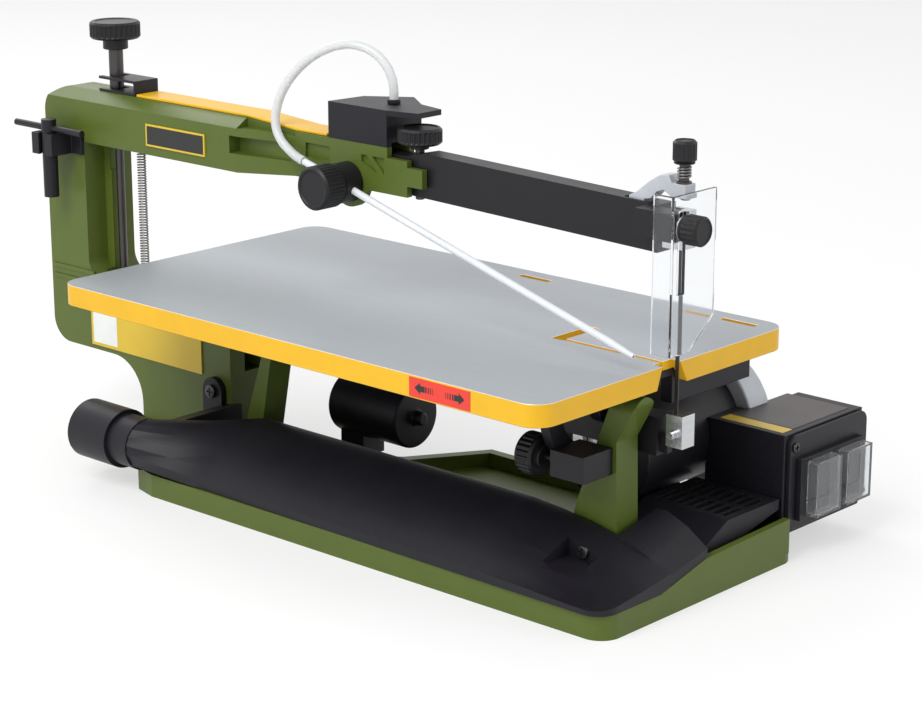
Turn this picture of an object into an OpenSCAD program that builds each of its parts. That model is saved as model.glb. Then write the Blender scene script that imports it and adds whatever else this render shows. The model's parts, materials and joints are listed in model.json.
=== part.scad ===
// Bench-top fret saw: C-shaped frame, two coupled arms, tilting table, air nozzle and dust housing.
// X to the right, Y to the back from the table's front edge, Z up from the bench. Lengths in mm.

/* [Table] */
// Table length, front to back
table_l = 355; // [330:1:375]
// Table width
table_w = 200; // [184:1:210]
// Height of the table's top face over the bench
table_h = 118; // [112:1:125]
// Height of the table's rim
table_rim = 11.8; // [9:0.1:12]
// Thickness of the table's plate
table_plate = 5; // [4:0.1:6]
// Corner radius of the table
table_corner = 12; // [6:1:20]

/* [Base] */
// Height of the base's edge
base_h = 13; // [11:0.5:14]
// Thickness of the base's floor
base_floor = 5; // [4:0.5:7]

/* [Arms] */
// Half width of both arms
arm_half = 6; // [5:0.1:6.4]
// Radius of the two pivot pins
pivot_r = 4; // [3:0.1:5]
// Play round a running pin
play = 0.05; // [0.02:0.01:0.09]

/* [Knobs] */
// Radius of the tension knob
tension_knob_r = 15; // [12:0.5:17]
// Radius of the air knob
air_knob_r = 12; // [9:0.5:12]
// Radius of the nozzle knob
nozzle_knob_r = 12; // [9:0.5:14]
// Radius of the guard knob
guard_knob_r = 7.5; // [6:0.5:9]
// Radius of the blade knob
blade_knob_r = 6; // [5:0.5:7.5]

/* [Dust outlet] */
// Outside radius of the outlet's end
outlet_r = 17; // [16.5:0.5:18]
// Bore radius of the outlet
outlet_bore = 13; // [10:0.5:13.5]

/* [Springs] */
// Coils of the return spring
return_coils = 54; // [40:1:58]
// Wire radius of the return spring
return_wire = 0.45; // [0.35:0.01:0.5]

/* [Hidden] */
$fn = 48;
over = 1;
seat = 0.3;
half_w = table_w / 2;
// a range is [from, to]; one named _z is measured from the table's top face,
// and one named _up from the base's edge
function zt(r) = [for (v = r) v + table_h];
function rise(r) = [for (v = r) v + base_h];
function mid(r) = (r[0] + r[1]) / 2;
function pad(r, d) = [r[0] - d, r[1] + d];
function mix(r, s) = r[0] + (r[1] - r[0]) * s;
// an outline written as shares of two ranges
function spots(a, b, shares) = [for (s = shares) [mix(a, s[0]), mix(b, s[1])]];

// places that follow the table's back edge
pivot_lead = 9;
limb_lead = 60;
neck_lead = 100;
neck_l = 85;
spring_lag = 44;
rod_lag = 64;
column_lag = 75;
column_d = 36;
pivot_y = table_l - pivot_lead;
limb_y = [table_l - limb_lead, table_l + column_lag + column_d];
column_y = [table_l + column_lag, limb_y[1]];
neck_y = [table_l - neck_lead - neck_l, table_l - neck_lead];
spring_y = table_l + spring_lag;
rod_y = table_l + rod_lag;

// base, its raised front wall and the two legs that carry the table
base_side = 20;
base_front = 25;
base_back = 33;
base_wall = 6;
base_corner_r = 12;
base_half = half_w - base_side;
base_y = [-base_front, table_l + base_back];
base_right_shares = [[1, 0.52], [0.45, 0.588], [0.3, 0.622], [0.3, 1]];
base_left_shares = [[-0.3, 1], [-0.3, 0.908], [-1, 0.826], [-1.05, 0.787]];
pocket_shares = [[0.925, 0.511], [0.41, 0.574], [0.225, 0.608], [0.225, 0.777], [-0.925, 0.777]];
function base_spots(shares) = [for (s = shares) [base_half * s[0], mix(base_y, s[1])]];
front_wall_h = 11;
front_wall_t = 4;
front_wall_shares = [[-0.45, 0], [0, 0.8], [0.9, 1]];
leg_x = [-27, -10];
pivot_x = mid(leg_x);
leg_half = (leg_x[1] - leg_x[0]) / 2;
tilt_drop = 22;
leg_drop = 10;
leg_z = [0, table_h - leg_drop];
tilt_h = table_h - tilt_drop;
front_leg_y = [1, 50];
front_leg_shares = [[0.184, 0], [1, 0], [0.714, 0.435], [0.531, 0.667], [0.327, 0.907], [0.306, 1],
    [0, 1], [0, 0.935], [0.224, 0.75]];
rear_leg_lead = [100, 67];
rear_leg_y = [table_l - rear_leg_lead[0], table_l - rear_leg_lead[1]];
rear_leg_shares = [[0.636, 0], [1, 0], [0.788, 0.37], [0.455, 0.667], [0.242, 0.889], [0.242, 1], [0, 1],
    [0, 0.889], [0.212, 0.667]];
bolt_r = 3;
bolt_head_r = 5.5;
bolt_head_t = 3.5;

// C-shaped frame
limb_half = 18;
roof_half = 9;
limb_low = 58.5;
limb_side = 83.5;
limb_roof = 89;
back_r = 15;
web_d = 6.2;
web_half = 3;
window_r = 12;
lower_limb_z = [-69, -25];
foot_lead = 50;
foot_lag = 29;
foot_fillet = 25;
foot_y = [table_l - foot_lead, table_l + foot_lag];
lower_limb_y = [foot_y[0], limb_y[1]];
spine_lap = 5;
neck_half = 10.5;
neck_z = [61, 86];
lug_l = 11;
lug_lap = 0.5;
lug_y = [neck_y[0] - lug_l, neck_y[0] + lug_lap];
lug_z = [67, 77];
belly_r = 14;
channel_gap = 0.8;
channel_half = arm_half + channel_gap;
channel_wall = 5;
channel_front = 20;
channel_y = [neck_y[0] - channel_front, column_y[0] - channel_wall];
channel_top_z = [62, 96];
channel_open_z = [40, 63];
arch_lead = 31;
channel_open_y = [[channel_y[0], limb_y[0] + spine_lap], [table_l + arch_lead, channel_y[1]]];
lower_channel_y = [limb_y[0] + spine_lap, column_y[0] - web_half];
lower_channel_z = [-62, -20];
relief_front = 10;
relief_room = 2.2;
relief_z = [80.5, 92];
long_pocket_lap = [3, 6];
long_pocket_y = [neck_y[1] + long_pocket_lap[0], limb_y[0] + long_pocket_lap[1]];
long_pocket_z = [69, 79];
long_pocket_deep = 8;
neck_pocket_deep = 1.7;
mid_pocket_lead = [27, 8];
mid_pocket_z = [73, 81];
rib_pocket_lag = [17, 34];
rib_pocket_z = [71, 80];
rib_low_shares = [[0, 0], [0, 1], [0.53, 1]];
rib_high_shares = [[0.29, 0], [0.76, 1], [1, 1], [1, 0.56]];
ledge_t = 0.8;
ledge_w = 2.4;
ledge_lag = [70, 108];
ledge_z = [-22.6, -29];

// pivots, tension parts and return spring
upper_pivot_z = 72;
lower_pivot_z = -37;
pin_half = 17.6;
cover_t = 1.6;
cover_lead = 23;
cover_lag = 36;
badge_t = 0.9;
badge_lag = [-34, 17];
badge_z = [64, 77];
label_lag = [-26, 74];
label_z = [-66, -31];
rod_r = 2.5;
rod_z = [-58, 127];
rod_hole = 3.3;
sleeve_r = 4.3;
sleeve_z = [85.5, 113.5];
nut_r = 4;
nut_z = [-55, -49.5];
clip_half = 9;
clip_back = 6;
clip_t = 1.6;
clip_rise = 9;
clip_slot = 5.8;
tension_knob_z = [113.8, 130.3];
knob_edge = 1.5;
return_r = 2.35;
return_z = [-24.6, 61.6];
return_end_z = [-26.7, 63.7];

// arms
arm_front = 5;
arm_back = 69.5;
arm_y = [arm_front, table_l + arm_back];
arm_low_z = [56.8, 64];
arm_top_z = [80.8, 82];
arm_low_shares = [[0, 0], [0.393, 0.64], [0.536, 0.78], [0.68, 1], [1, 1]];
hump_lead = [26, 8, -6];
hump_z = [84.8, 85.2];
nose_half = 2;
nose_y = [-3.4, 6];
nose_z = [66, 74];
clamp_pin = [-0.4, 70];
clamp_pin_r = 1.5;
guard_lug_x = [-16, -5];
guard_lug_y = [-11.6, 12];
guard_lug_z = [66, 80];
lever_slot_half = 4.3;
lever_slot_y = [12, 28.5];
lever_slot_z = [72, 90];
lever_pin_at = [20, 76];
lever_pin_r = 1.5;
pin_inset = 1;
lower_arm_front = 3;
lower_arm_z = [-47, -27];
lower_nose_y = [-0.5, 4];
lower_nose_z = [-46, -36];

// blade, clamps, lever and knob
blade_y = -4;
blade_half_y = 1.1;
blade_half_x = 0.3;
blade_z = [-38, 64.6];
upper_clamp_half = 5;
upper_clamp_y = [-8.5, 2.5];
upper_clamp_z = [60, 79];
clamp_slot_half = 2.4;
lower_clamp_half = 5;
lower_clamp_y = [-12, -1.5];
lower_clamp_z = [-41, -24];
clamp_screw_r = 2.2;
clamp_screw_l = 3.5;
clamp_screw_drop = 34;
lever_half = 4;
lever_y = [-9.4, 25.5];
lever_z = [73.5, 95.7];
lever_shares = [[0.957, 0], [1, 0.4], [0.857, 0.518], [0.636, 0.797], [0.453, 0.973], [0.298, 1],
    [0.245, 0.834], [0, 0.834], [0, 0.518], [0.241, 0.518], [0.384, 0.653], [0.499, 0.586],
    [0.613, 0.41], [0.728, 0.374], [0.728, 0]];
lever_front = -5.4;
washer_r = 3.8;
washer_t = 1;
small_spring_r = 3.2;
small_spring_wire = 0.45;
small_coils = 4;
small_spring_z = [94.4, 100.2];
small_end_z = [93.1, 101.6];
stem_r = 2.5;
stem_z = [84, 101.8];
blade_knob_z = [101.7, 113.3];

// guard
panel_x = [-19, 15.5];
panel_z = [9.4, 89];
panel_y = [-14, -12];
panel_shares = [[0, 0], [0.435, 0], [1, 0.2], [1, 1], [0, 1]];
wing_t = 2;
wing_y = [-12.5, -1.5];
guard_knob_at = [-11.5, 73];
guard_slot_z = [40, 81];
guard_screw_r = 2;
guard_slot_r = 2.3;
guard_screw_y = [-15.3, 6];
guard_washer_r = 6;
guard_washer_y = [-15.3, -14.2];
guard_knob_y = [-27, -15.3];

// bellows box, hose and nozzle
bellows_x = [-10.5, 30];
bellows_lag = [14.8, 59];
bellows_z = [86, 106];
bellows_shares = [[0, 1], [0.605, 0.932], [1, 0.412], [0.667, 0], [0, 0]];
lip_lag = [-4, 16];
lip_z = [103, 106];
lip_shares = [[0, 1], [0.667, 1], [0.556, 0], [0.111, 0]];
bellows_run_lag = [10, 70];
bellows_run_z = [80, 88];
barb_x = 7.4;
barb_lag = 26.6;
barb_r = 3.6;
barb_z = [106, 108.5];
barb_at = [barb_x, neck_y[0] + barb_lag];
hose_r = 2.5;
hub_x = -17;
hub_lag = 43.5;
hub_z = 64;
hub_at = [hub_x, neck_y[0] + hub_lag, hub_z];
nozzle_tip = [-24, 4.5, 8];
nozzle_tail = 30;
nozzle_r = 2;
nozzle_dir = unit(hub_at - nozzle_tip);
nozzle_end = hub_at + (nozzle_tail + seat) * nozzle_dir;
// the hose's route, from the barb's top to the pipe's tail
hose_pts = [[0, 0, 0], [0, 0, 5.5], [-0.2, 1.4, 11.5], [-1, 5.4, 18.5], [-2.6, 12.4, 24.1], [-5, 21.4, 27.1],
    [-7.8, 31.4, 26.9], [-10.6, 41.4, 23.5], [-13.4, 51.4, 17.5], [-16, 60.4, 9.1], [-18.2, 67, -0.5],
    [-20, 70.4, -10.5], [-21.6, 70, -19.5], [-22.8, 65.4, -26.5], [-23.1, 59.2, -31.3]];
hose_sides = 10;
hub_r = 11;
hub_ends_x = [-22.5, -10.8];
hub_stud_r = 3;
hub_stud_l = 3.6;
nozzle_knob_l = 15.6;
nozzle_knob_gap = 0.4;
nozzle_screw_l = 3;
nozzle_screw_r = 2.5;
air_lag = 0.4;
air_knob_z = [88.6, 97.6];
air_collar_r = 5;
air_collar_z = [86, 89];
air_bolt_r = 2.5;
air_bolt_z = [58.7, 87];
air_y = neck_y[0] + air_lag;

// table details and trunnions
table_wall = 6;
notch_top = [-6, 7];
notch_low = [-10.6, 14.2];
blade_slot_x = [-1.2, 1.4];
blade_slot_y = [5, 70];
cross_slot_x = [-2, 28];
cross_slot_y = [69, 76];
edge_slot_in = [14, 10];
edge_slot_shares = [[0.034, 0.096], [0.118, 0.169], [0.434, 0.496]];
rib_in = 38;
rib_w = 4;
rib_drop = 10;
ear_half = 9;
flange_t = 4;
front_flange_in = [16, 24];
front_flange_x = [front_flange_in[0] - half_w, half_w - front_flange_in[1]];
front_flange_y = [6.5, 44];
front_ear_y = [23, 30];
front_bolt_in = 15;
front_bar_from = 10;
front_bar_t = 7.5;
front_bar_drop = 24;
rear_flange_in = [40, 70];
rear_flange_x = [rear_flange_in[0] - half_w, half_w - rear_flange_in[1]];
rear_flange_lead = [99, 79];
rear_flange_y = [table_l - rear_flange_lead[0], table_l - rear_flange_lead[1]];
rear_ear_lead = [87, 80];
rear_ear_y = [table_l - rear_ear_lead[0], table_l - rear_ear_lead[1]];
rear_bolt_in = 11.5;
quad_y = [36, 42];
quad_in = 22;
quad_out = 32.6;
quad_hang_x = [-50, -34];
quad_hang_lap = 4;
quad_shares = [[0, 0], [-1.4, -0.05], [-1.4, -1.4], [-0.68, -1.4], [-0.08, -0.35]];
lock_off = [-25, -25];
lock_bracket_x = [-50, -27];
lock_bracket_y = [14, 35.4];
lock_bracket_half = 7;
lock_stud_r = 2;
lock_stud_y = [24, 43];
lock_knob_r = 11;
lock_knob_y = [42.6, 56];

// dust housing: a duct that runs from the round outlet to a broad nose, and the chute under the blade
duct_side = 18;
duct_gap = 1.5;
duct_x = [duct_side - half_w, leg_x[0] - duct_gap];
duct_h = 30;
duct_wall = 3.2;
lip_section_shares = [[0.3, 0], [0, 0], [0, 0.08], [0.09, 0.1], [0.18, 0.12], [0.355, 0.15], [0.52, 0.18],
    [0.62, 0.2], [0.69, 0.22], [0.78, 0.24], [0.86, 0.26], [1, 0.3], [1, 0.15], [1, 0], [0.7, 0]];
ridge_section_shares = [[0.3, 0], [0, 0], [0, 0.1], [0.09, 0.14], [0.18, 0.18], [0.355, 0.26], [0.52, 0.35],
    [0.62, 0.41], [0.69, 0.46], [0.78, 0.52], [0.86, 0.57], [1, 0.65], [1, 0.35], [1, 0], [0.7, 0]];
body_section_shares = [[0.3, 0], [0, 0], [0, 0.167], [0.12, 0.36], [0.262, 0.533], [0.42, 0.69],
    [0.598, 0.833], [0.7, 0.91], [0.785, 0.96], [0.85, 0.985], [0.92, 1], [1, 0.94], [1, 0.5], [1, 0],
    [0.7, 0]];
outlet_angles = [260, 225, 190, 170, 150, 132, 115, 98, 82, 65, 45, 25, -5, -40, -70];
nose_bulge_share = 0.62;
nose_rise_share = 0.55;
flare_share = 0.5;
ridge_y = 1;
shoulder_y = 25;
body_y = 60;
flare_lead = [95, 72, 45];
nose_x = [-31, 1.5];
nose_back = 8;
nose_h = 27;
nose_slope = 12;
nose_lip_share = 0.5;
chute_w = 70;
chute_x = [nose_x[1] - duct_gap, nose_x[1] - duct_gap + chute_w];
chute_y = [-19, 35];
chute_up = [1, 21];
chute_shares = [[0, 0], [0, 0.35], [0.364, 1], [1, 1], [1, 0.72]];
chute_room_shares = [[0.1, 0.3], [0.4, 0.84], [0.4, 1.2], [0.95, 1.2], [0.95, 0.84]];
grille_gap = 3;
grille_up = [18, 21];
grille_bars = 8;
grille_bar_w = 2.4;
grille_spine_w = 4;
passage_y = [-14, 5];
passage_h = 10;
outlet_x = 20;
outlet_up = 15;
outlet_at = [outlet_x - half_w, outlet_up];
outlet_lag = 2;
outlet_ring = 32;
outlet_y1 = table_l + outlet_lag;
outlet_body_r = 14.8;
tab_lead = [46, 30];
tab_y = [table_l - tab_lead[0], table_l - tab_lead[1]];
tab_t = 4;
tab_up = [4, 40];
bridge_lead = [59, 30];
bridge_side = 46;
bridge_y = [table_l - bridge_lead[0], table_l - bridge_lead[1]];
bridge_up = [2, 28];
bridge_shares = [[0, 0], [1, 0], [1, 0.5], [0.55, 0.85], [0, 1]];
tab_screw_l = 6;
tab_screw_r = 2.5;
head_r = 4;
head_t = 2;
well_x = [-66, -46];
well_y = [6, 26];
well_up = [11, 40];
well_screw_up = 15;
well_screw_r = 2;
well_head_r = 3.3;

// switch box
box_in = 28;
box_w = 71;
box_x = [half_w - box_in, half_w - box_in + box_w];
box_y = [-20, 31];
box_up = [0, 55];
plate_t = 2.5;
plate_in = [2, -1.5];
plate_x = [box_x[0] + plate_in[0], box_x[1] - plate_in[1]];
plate_up = [3, 54];
plate_corner = 6;
bezel_in = [8, 5.8];
bezel_x = [box_x[0] + bezel_in[0], box_x[1] - bezel_in[1]];
bezel_up = [7.5, 41.5];
bezel_t = 3;
rocker_w = 19;
rocker_in = [15, 43];
rocker_x = [for (v = rocker_in) [box_x[0] + v, box_x[0] + v + rocker_w]];
rocker_sunk = 5.5;
rocker_y = box_y[0] + rocker_sunk;
rocker_up = 24.5;
rocker_r = 13;
rocker_gap = 0.4;
rocker_flat = 10.5;
cover_deep = 7;
cover_up = [9.5, 39.5];
cover_wall = 1.2;
cover_grow = 1.5;
plate_screw_in = [6, 2];
plate_screw_up = [48, 9];
plate_screw_r = 2.6;
plate_screw_t = 1.2;

// motor, crank and capacitor
motor_y = 58;
motor_h_share = 0.4746;
motor_h = table_h * motor_h_share;
motor_r = 30;
motor_from = 20;
motor_in = 1;
motor_x = [motor_from, half_w - motor_in];
bell_r = 38;
bell_t = 22;
bell_x = [motor_x[1], motor_x[1] + bell_t];
bell_edge = 5;
motor_gap = 0.4;
saddle_x = [36, 66];
saddle_half = 16;
shaft_r = 4;
shaft_x = [17, 26];
crank_x = [11.5, 18];
crank_r = 12;
throw = 7.3;
crank_pin_r = 2.5;
crank_pin_x = [7, 12];
rod_x = [7.2, 11];
rod_len = table_h + lower_pivot_z - motor_h;
rod_eye_r = 6;
rod_half = 3.4;
wrist_r = 3;
wrist_x = [-4, 6.7];
cap_x = 30;
cap_h_share = 0.3475;
cap_h = table_h * cap_h_share;
cap_r = 18;
cap_lead = [152, 99];
cap_y = [table_l - cap_lead[0], table_l - cap_lead[1]];
cap_stud_r = 4;
cap_stud_l = 6;
cap_saddle_x = [18.5, 36];
cap_saddle_in = [31, 4];

// tool clip and key
key_x = -30;
key_lag = 17.6;
key_y = column_y[0] + key_lag;
key_r = 4.5;
key_z = [25, 72];
key_bar_half = 31;
key_bar_r = 2;
key_bar_z = 66.6;
clip_block_half = 9.5;
clip_out = 6;
clip_block_z = [51, 64];
clip_wing_half = 18;
clip_wing_t = 3;
key_gap = 0.4;
clip_mouth_half = 3;

// shapes used by many pieces
module block(x, y, z) {
    translate([x[0], y[0], z[0]]) cube([x[1] - x[0], y[1] - y[0], z[1] - z[0]]);
}
module bar_x(x, pts) {
    translate([x[0], 0, 0]) rotate([90, 0, 90]) linear_extrude(x[1] - x[0]) polygon(pts);
}
module bar_y(y, pts) {
    translate([0, y[1], 0]) rotate([90, 0, 0]) linear_extrude(y[1] - y[0]) polygon(pts);
}
module slab(z, pts) {
    translate([0, 0, z[0]]) linear_extrude(z[1] - z[0]) polygon(pts);
}
module rod_along_x(x, y, z, r) {
    translate([x[0], y, z]) rotate([0, 90, 0]) cylinder(r = r, h = x[1] - x[0]);
}
module rod_along_y(y, x, z, r) {
    translate([x, y[0], z]) rotate([-90, 0, 0]) cylinder(r = r, h = y[1] - y[0]);
}
module rod_along_z(z, x, y, r) {
    translate([x, y, z[0]]) cylinder(r = r, h = z[1] - z[0]);
}
// knob turned about its own axis, standing on the origin, with both rims broken
module knob_body(r, h) {
    rotate_extrude() polygon([[0, 0], [r - knob_edge, 0], [r, knob_edge], [r, h - knob_edge],
        [r - knob_edge, h], [0, h]]);
}

// solids skinned over rings of points, closed at both ends
function unit(v) = v / norm(v);
function along(p, i) = unit(p[min(i + 1, len(p) - 1)] - p[max(i - 1, 0)]);
function ring(c, t, r, n, side) =
    let (a = unit(cross(t, side)), b = cross(a, t))
    [for (k = [0:n - 1]) c + r * (cos(360 * k / n) * a + sin(360 * k / n) * b)];
module skin(rings) {
    m = len(rings);
    n = len(rings[0]);
    walls = [for (i = [0:m - 2], k = [0:n - 1])
        let (a = i * n + k, b = i * n + (k + 1) % n, c = a + n, d = b + n) each [[a, c, b], [b, c, d]]];
    caps = [for (k = [1:n - 2]) each [[0, k, k + 1], [(m - 1) * n, (m - 1) * n + k + 1, (m - 1) * n + k]]];
    polyhedron(points = [for (q = rings) each q], faces = concat(walls, caps));
}
module tube(p, r, n, sides) {
    skin([for (i = [0:len(p) - 1]) ring(p[i], along(p, i), r, n, sides[i])]);
}
curl_rings = 8;
wire_sides = 6;
lead_share = 1 / 3;
function coil_path(c, r, z, ends, n) = concat(
    [[c[0] + r, c[1], ends[0]], [c[0] + r, c[1], mix([ends[0], z[0]], lead_share)]],
    [for (i = [0:n * curl_rings]) let (a = 360 * i / curl_rings)
        [c[0] + r * cos(a), c[1] + r * sin(a), mix(z, i / (n * curl_rings))]],
    [[c[0] + r, c[1], mix([ends[1], z[1]], lead_share)], [c[0] + r, c[1], ends[1]]]);
function coil_sides(c, p) = [for (q = p) unit([q[0] - c[0], q[1] - c[1], 0])];
module coil(c, r, wire, z, ends, n) {
    p = coil_path(c, r, z, ends, n);
    tube(p, wire, wire_sides, coil_sides(c, p));
}
// least gap between neighbouring turns, measured on the points of the path
function least_gap(p, wire) = min([for (i = [0:len(p) - 1], k = [curl_rings / 2:2 * curl_rings])
    if (i + k < len(p)) norm(p[i] - p[i + k])]) - 2 * wire;
echo(return_spring_gap = least_gap(coil_path([0, 0], return_r, return_z, return_end_z, return_coils),
        return_wire),
    lever_spring_gap = least_gap(coil_path([0, 0], small_spring_r, small_spring_z, small_end_z, small_coils),
        small_spring_wire));

// base
module base() color([0.3, 0.36, 0.13]) difference() {
    union() {
        difference() {
            union() {
                linear_extrude(base_h) polygon(concat(
                    [[base_corner_r - base_half, base_y[0]], [base_half - base_corner_r, base_y[0]],
                    [base_half, base_y[0] + base_corner_r]],
                    base_spots(base_right_shares), base_spots(base_left_shares),
                    [[-base_half, base_y[0] + base_corner_r]]));
                for (x = [base_corner_r - base_half, base_half - base_corner_r])
                    rod_along_z([0, base_h], x, base_y[0] + base_corner_r, base_corner_r);
            }
            slab([base_floor, base_h + over], concat(
                [[base_wall - base_half, base_y[0] + base_wall],
                [base_half - base_wall, base_y[0] + base_wall]],
                base_spots(pocket_shares)));
        }
        front_wall();
        leg(front_leg_y, front_leg_shares);
        leg(rear_leg_y, rear_leg_shares);
    }
    bolt_way(front_ear_y, front_bolt_in);
    bolt_way(rear_ear_y, rear_bolt_in);
}
module front_wall() bar_y([base_y[0], base_y[0] + front_wall_t], concat(
    [for (s = front_wall_shares) [base_half * s[0], base_h + front_wall_h * s[1]]],
    [[base_half * front_wall_shares[2][0], base_floor], [base_half * front_wall_shares[0][0], base_floor]]));
module leg(y, shares) intersection() {
    bar_x(leg_x, spots(y, leg_z, shares));
    union() {
        block(leg_x, y, [0, tilt_h]);
        rod_along_y(y, pivot_x, tilt_h, leg_half);
    }
}
module bolt_way(ear_y, deep) rod_along_y([ear_y[0] - deep, ear_y[1]], pivot_x, tilt_h, bolt_r);

// C-shaped frame
module c_frame() color([0.3, 0.36, 0.13]) difference() {
    union() {
        intersection() {
            bar_y(limb_y, [for (p = [[-limb_half, limb_low], [limb_half, limb_low], [limb_half, limb_side],
                [roof_half, limb_roof], [-roof_half, limb_roof], [-limb_half, limb_side]])
                [p[0], p[1] + table_h]]);
            rounded_back();
        }
        intersection() {
            block([-limb_half, limb_half], column_y, zt([lower_limb_z[0], limb_side]));
            rounded_back();
        }
        block([-web_half, web_half], [column_y[0] - web_d, column_y[0] + over],
            zt([lower_limb_z[1] - over, limb_low + over]));
        intersection() {
            block([-limb_half, limb_half], lower_limb_y, zt(lower_limb_z));
            rounded_back();
        }
        block([-limb_half, limb_half], foot_y, [base_h, table_h + lower_limb_z[0] + over]);
        inner_fillet(foot_y[1], lower_limb_z[0], [1, -1], foot_fillet);
        inner_fillet(column_y[0], lower_limb_z[1], [-1, 1], window_r);
        intersection() {
            slab(zt([limb_low - over, limb_side]), [[-neck_half, neck_y[1]], [neck_half, neck_y[1]],
                [limb_half, limb_y[0]], [-limb_half, limb_y[0]]]);
            bar_x([-limb_half, limb_half], [for (p = [[neck_y[1], neck_z[0]], [limb_y[0], limb_low],
                [limb_y[0], limb_side], [neck_y[1], limb_side]]) [p[0], p[1] + table_h]]);
        }
        bar_x([-roof_half, roof_half], [for (p = [[neck_y[0], neck_z[0]], [neck_y[0], neck_z[1]],
            [neck_y[1], neck_z[1]], [limb_y[0], limb_roof], [limb_y[0] + spine_lap, limb_roof],
            [limb_y[0] + spine_lap, limb_low], [limb_y[0], limb_low], [neck_y[1], neck_z[0]]])
            [p[0], p[1] + table_h]]);
        block([-neck_half, neck_half], neck_y, zt(neck_z));
        for (s = [1, -1]) scale([s, 1, 1]) block([channel_half, neck_half], lug_y, zt(lug_z));
        rod_along_x([-neck_half, -channel_half], hub_at[1], table_h + hub_z, belly_r);
        for (z = ledge_z) block([-limb_half - ledge_t, -limb_half + over],
            [table_l + ledge_lag[0], table_l + ledge_lag[1]], zt([z, z + ledge_w]));
    }
    block([-channel_half, channel_half], channel_y, zt(channel_top_z));
    for (y = channel_open_y) block([-channel_half, channel_half], y, zt(channel_open_z));
    block([-channel_half, channel_half], lower_channel_y, zt(lower_channel_z));
    block([-limb_half, limb_half], [neck_y[0] - relief_front, air_y + air_knob_r + relief_room],
        zt(relief_z));
    block([-limb_half - over, long_pocket_deep - limb_half], long_pocket_y, zt(long_pocket_z));
    block([-neck_half - over, neck_pocket_deep - neck_half],
        [neck_y[1] - mid_pocket_lead[0], neck_y[1] - mid_pocket_lead[1]], zt(mid_pocket_z));
    for (s = [rib_low_shares, rib_high_shares]) bar_x([-neck_half - over, neck_pocket_deep - neck_half],
        spots([neck_y[0] + rib_pocket_lag[0], neck_y[0] + rib_pocket_lag[1]], zt(rib_pocket_z), s));
    for (z = [upper_pivot_z, lower_pivot_z])
        rod_along_x([-pin_half, pin_half], pivot_y, table_h + z, pivot_r);
    rod_along_x([-neck_half - over, hub_ends_x[1] + hub_stud_l + over], hub_at[1], table_h + hub_z,
        hub_stud_r + play);
    tab_screw(tab_screw_r, 0);
}
module rounded_back() union() {
    y = [lower_limb_y[0] - limb_lead, limb_y[1]];
    z = zt([lower_limb_z[0], limb_roof]);
    block([-limb_half, limb_half], [y[0], y[1] - back_r], z);
    block([-limb_half, limb_half], y, pad(z, -back_r));
    for (v = pad(z, -back_r)) rod_along_x([-limb_half, limb_half], y[1] - back_r, v, back_r);
}
// concave corner of radius r where an upright face at y meets a level face at z
module inner_fillet(y, z, way, r) difference() {
    far = y + way[0] * r;
    tip = z + way[1] * r;
    block([-limb_half, limb_half], [min(y - way[0] * over, far), max(y - way[0] * over, far)],
        zt([min(z - way[1] * over, tip), max(z - way[1] * over, tip)]));
    rod_along_x([-limb_half - over, limb_half + over], far, table_h + tip, r);
}
module frame_top_cover() color([0.88, 0.66, 0.08]) bar_x([-roof_half, roof_half],
    [for (p = [[table_l + cover_lag, limb_roof], [limb_y[0], limb_roof], [neck_y[1], neck_z[1]],
        [neck_y[1] - cover_lead, neck_z[1]], [neck_y[1] - cover_lead, neck_z[1] + cover_t],
        [neck_y[1], neck_z[1] + cover_t], [limb_y[0], limb_roof + cover_t],
        [table_l + cover_lag, limb_roof + cover_t]]) [p[0], p[1] + table_h]]);
module arm_badge() color([0.5, 0.5, 0.45]) block([-limb_half - badge_t, -limb_half],
    [table_l + badge_lag[0], table_l + badge_lag[1]], zt(badge_z));
module frame_label() color([0.8, 0.7, 0.2]) block([-limb_half - badge_t, -limb_half],
    [table_l + label_lag[0], table_l + label_lag[1]], zt(label_z));
module pivot_pin(z) rod_along_x([-pin_half, pin_half], pivot_y, table_h + z, pivot_r);
module upper_pivot_pin() color([0.7, 0.7, 0.7]) pivot_pin(upper_pivot_z);
module lower_pivot_pin() color([0.7, 0.7, 0.7]) pivot_pin(lower_pivot_z);

// tension parts and return spring
module tension_clip() color([0.12, 0.12, 0.13]) difference() {
    y = [table_l + cover_lag + over, rod_y + clip_back];
    z = [limb_roof, limb_roof + clip_rise];
    union() {
        block([-clip_half, clip_half], y, zt([z[0], z[0] + clip_t]));
        block([-clip_half, clip_half], y, zt([z[1] - clip_t, z[1]]));
        block([-clip_half, clip_half], [y[0], y[0] + clip_t], zt(z));
    }
    block([-clip_slot, clip_slot], [rod_y - clip_slot, y[1] + over], zt(pad(z, over)));
}
module tension_rod() color([0.6, 0.6, 0.6]) union() {
    rod_along_z(zt(rod_z), 0, rod_y, rod_r);
    rod_along_z(zt(sleeve_z), 0, rod_y, sleeve_r);
    rod_along_z(zt(nut_z), 0, rod_y, nut_r);
}
module tension_knob() color([0.12, 0.12, 0.13]) difference() {
    translate([0, rod_y, table_h + tension_knob_z[0]])
        knob_body(tension_knob_r, tension_knob_z[1] - tension_knob_z[0]);
    rod_along_z(zt([tension_knob_z[0] - over, rod_z[1] + seat]), 0, rod_y, rod_r + play);
}
module return_spring() color([0.7, 0.7, 0.7])
    coil([0, spring_y], return_r, return_wire, zt(return_z), zt(return_end_z), return_coils);

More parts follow.
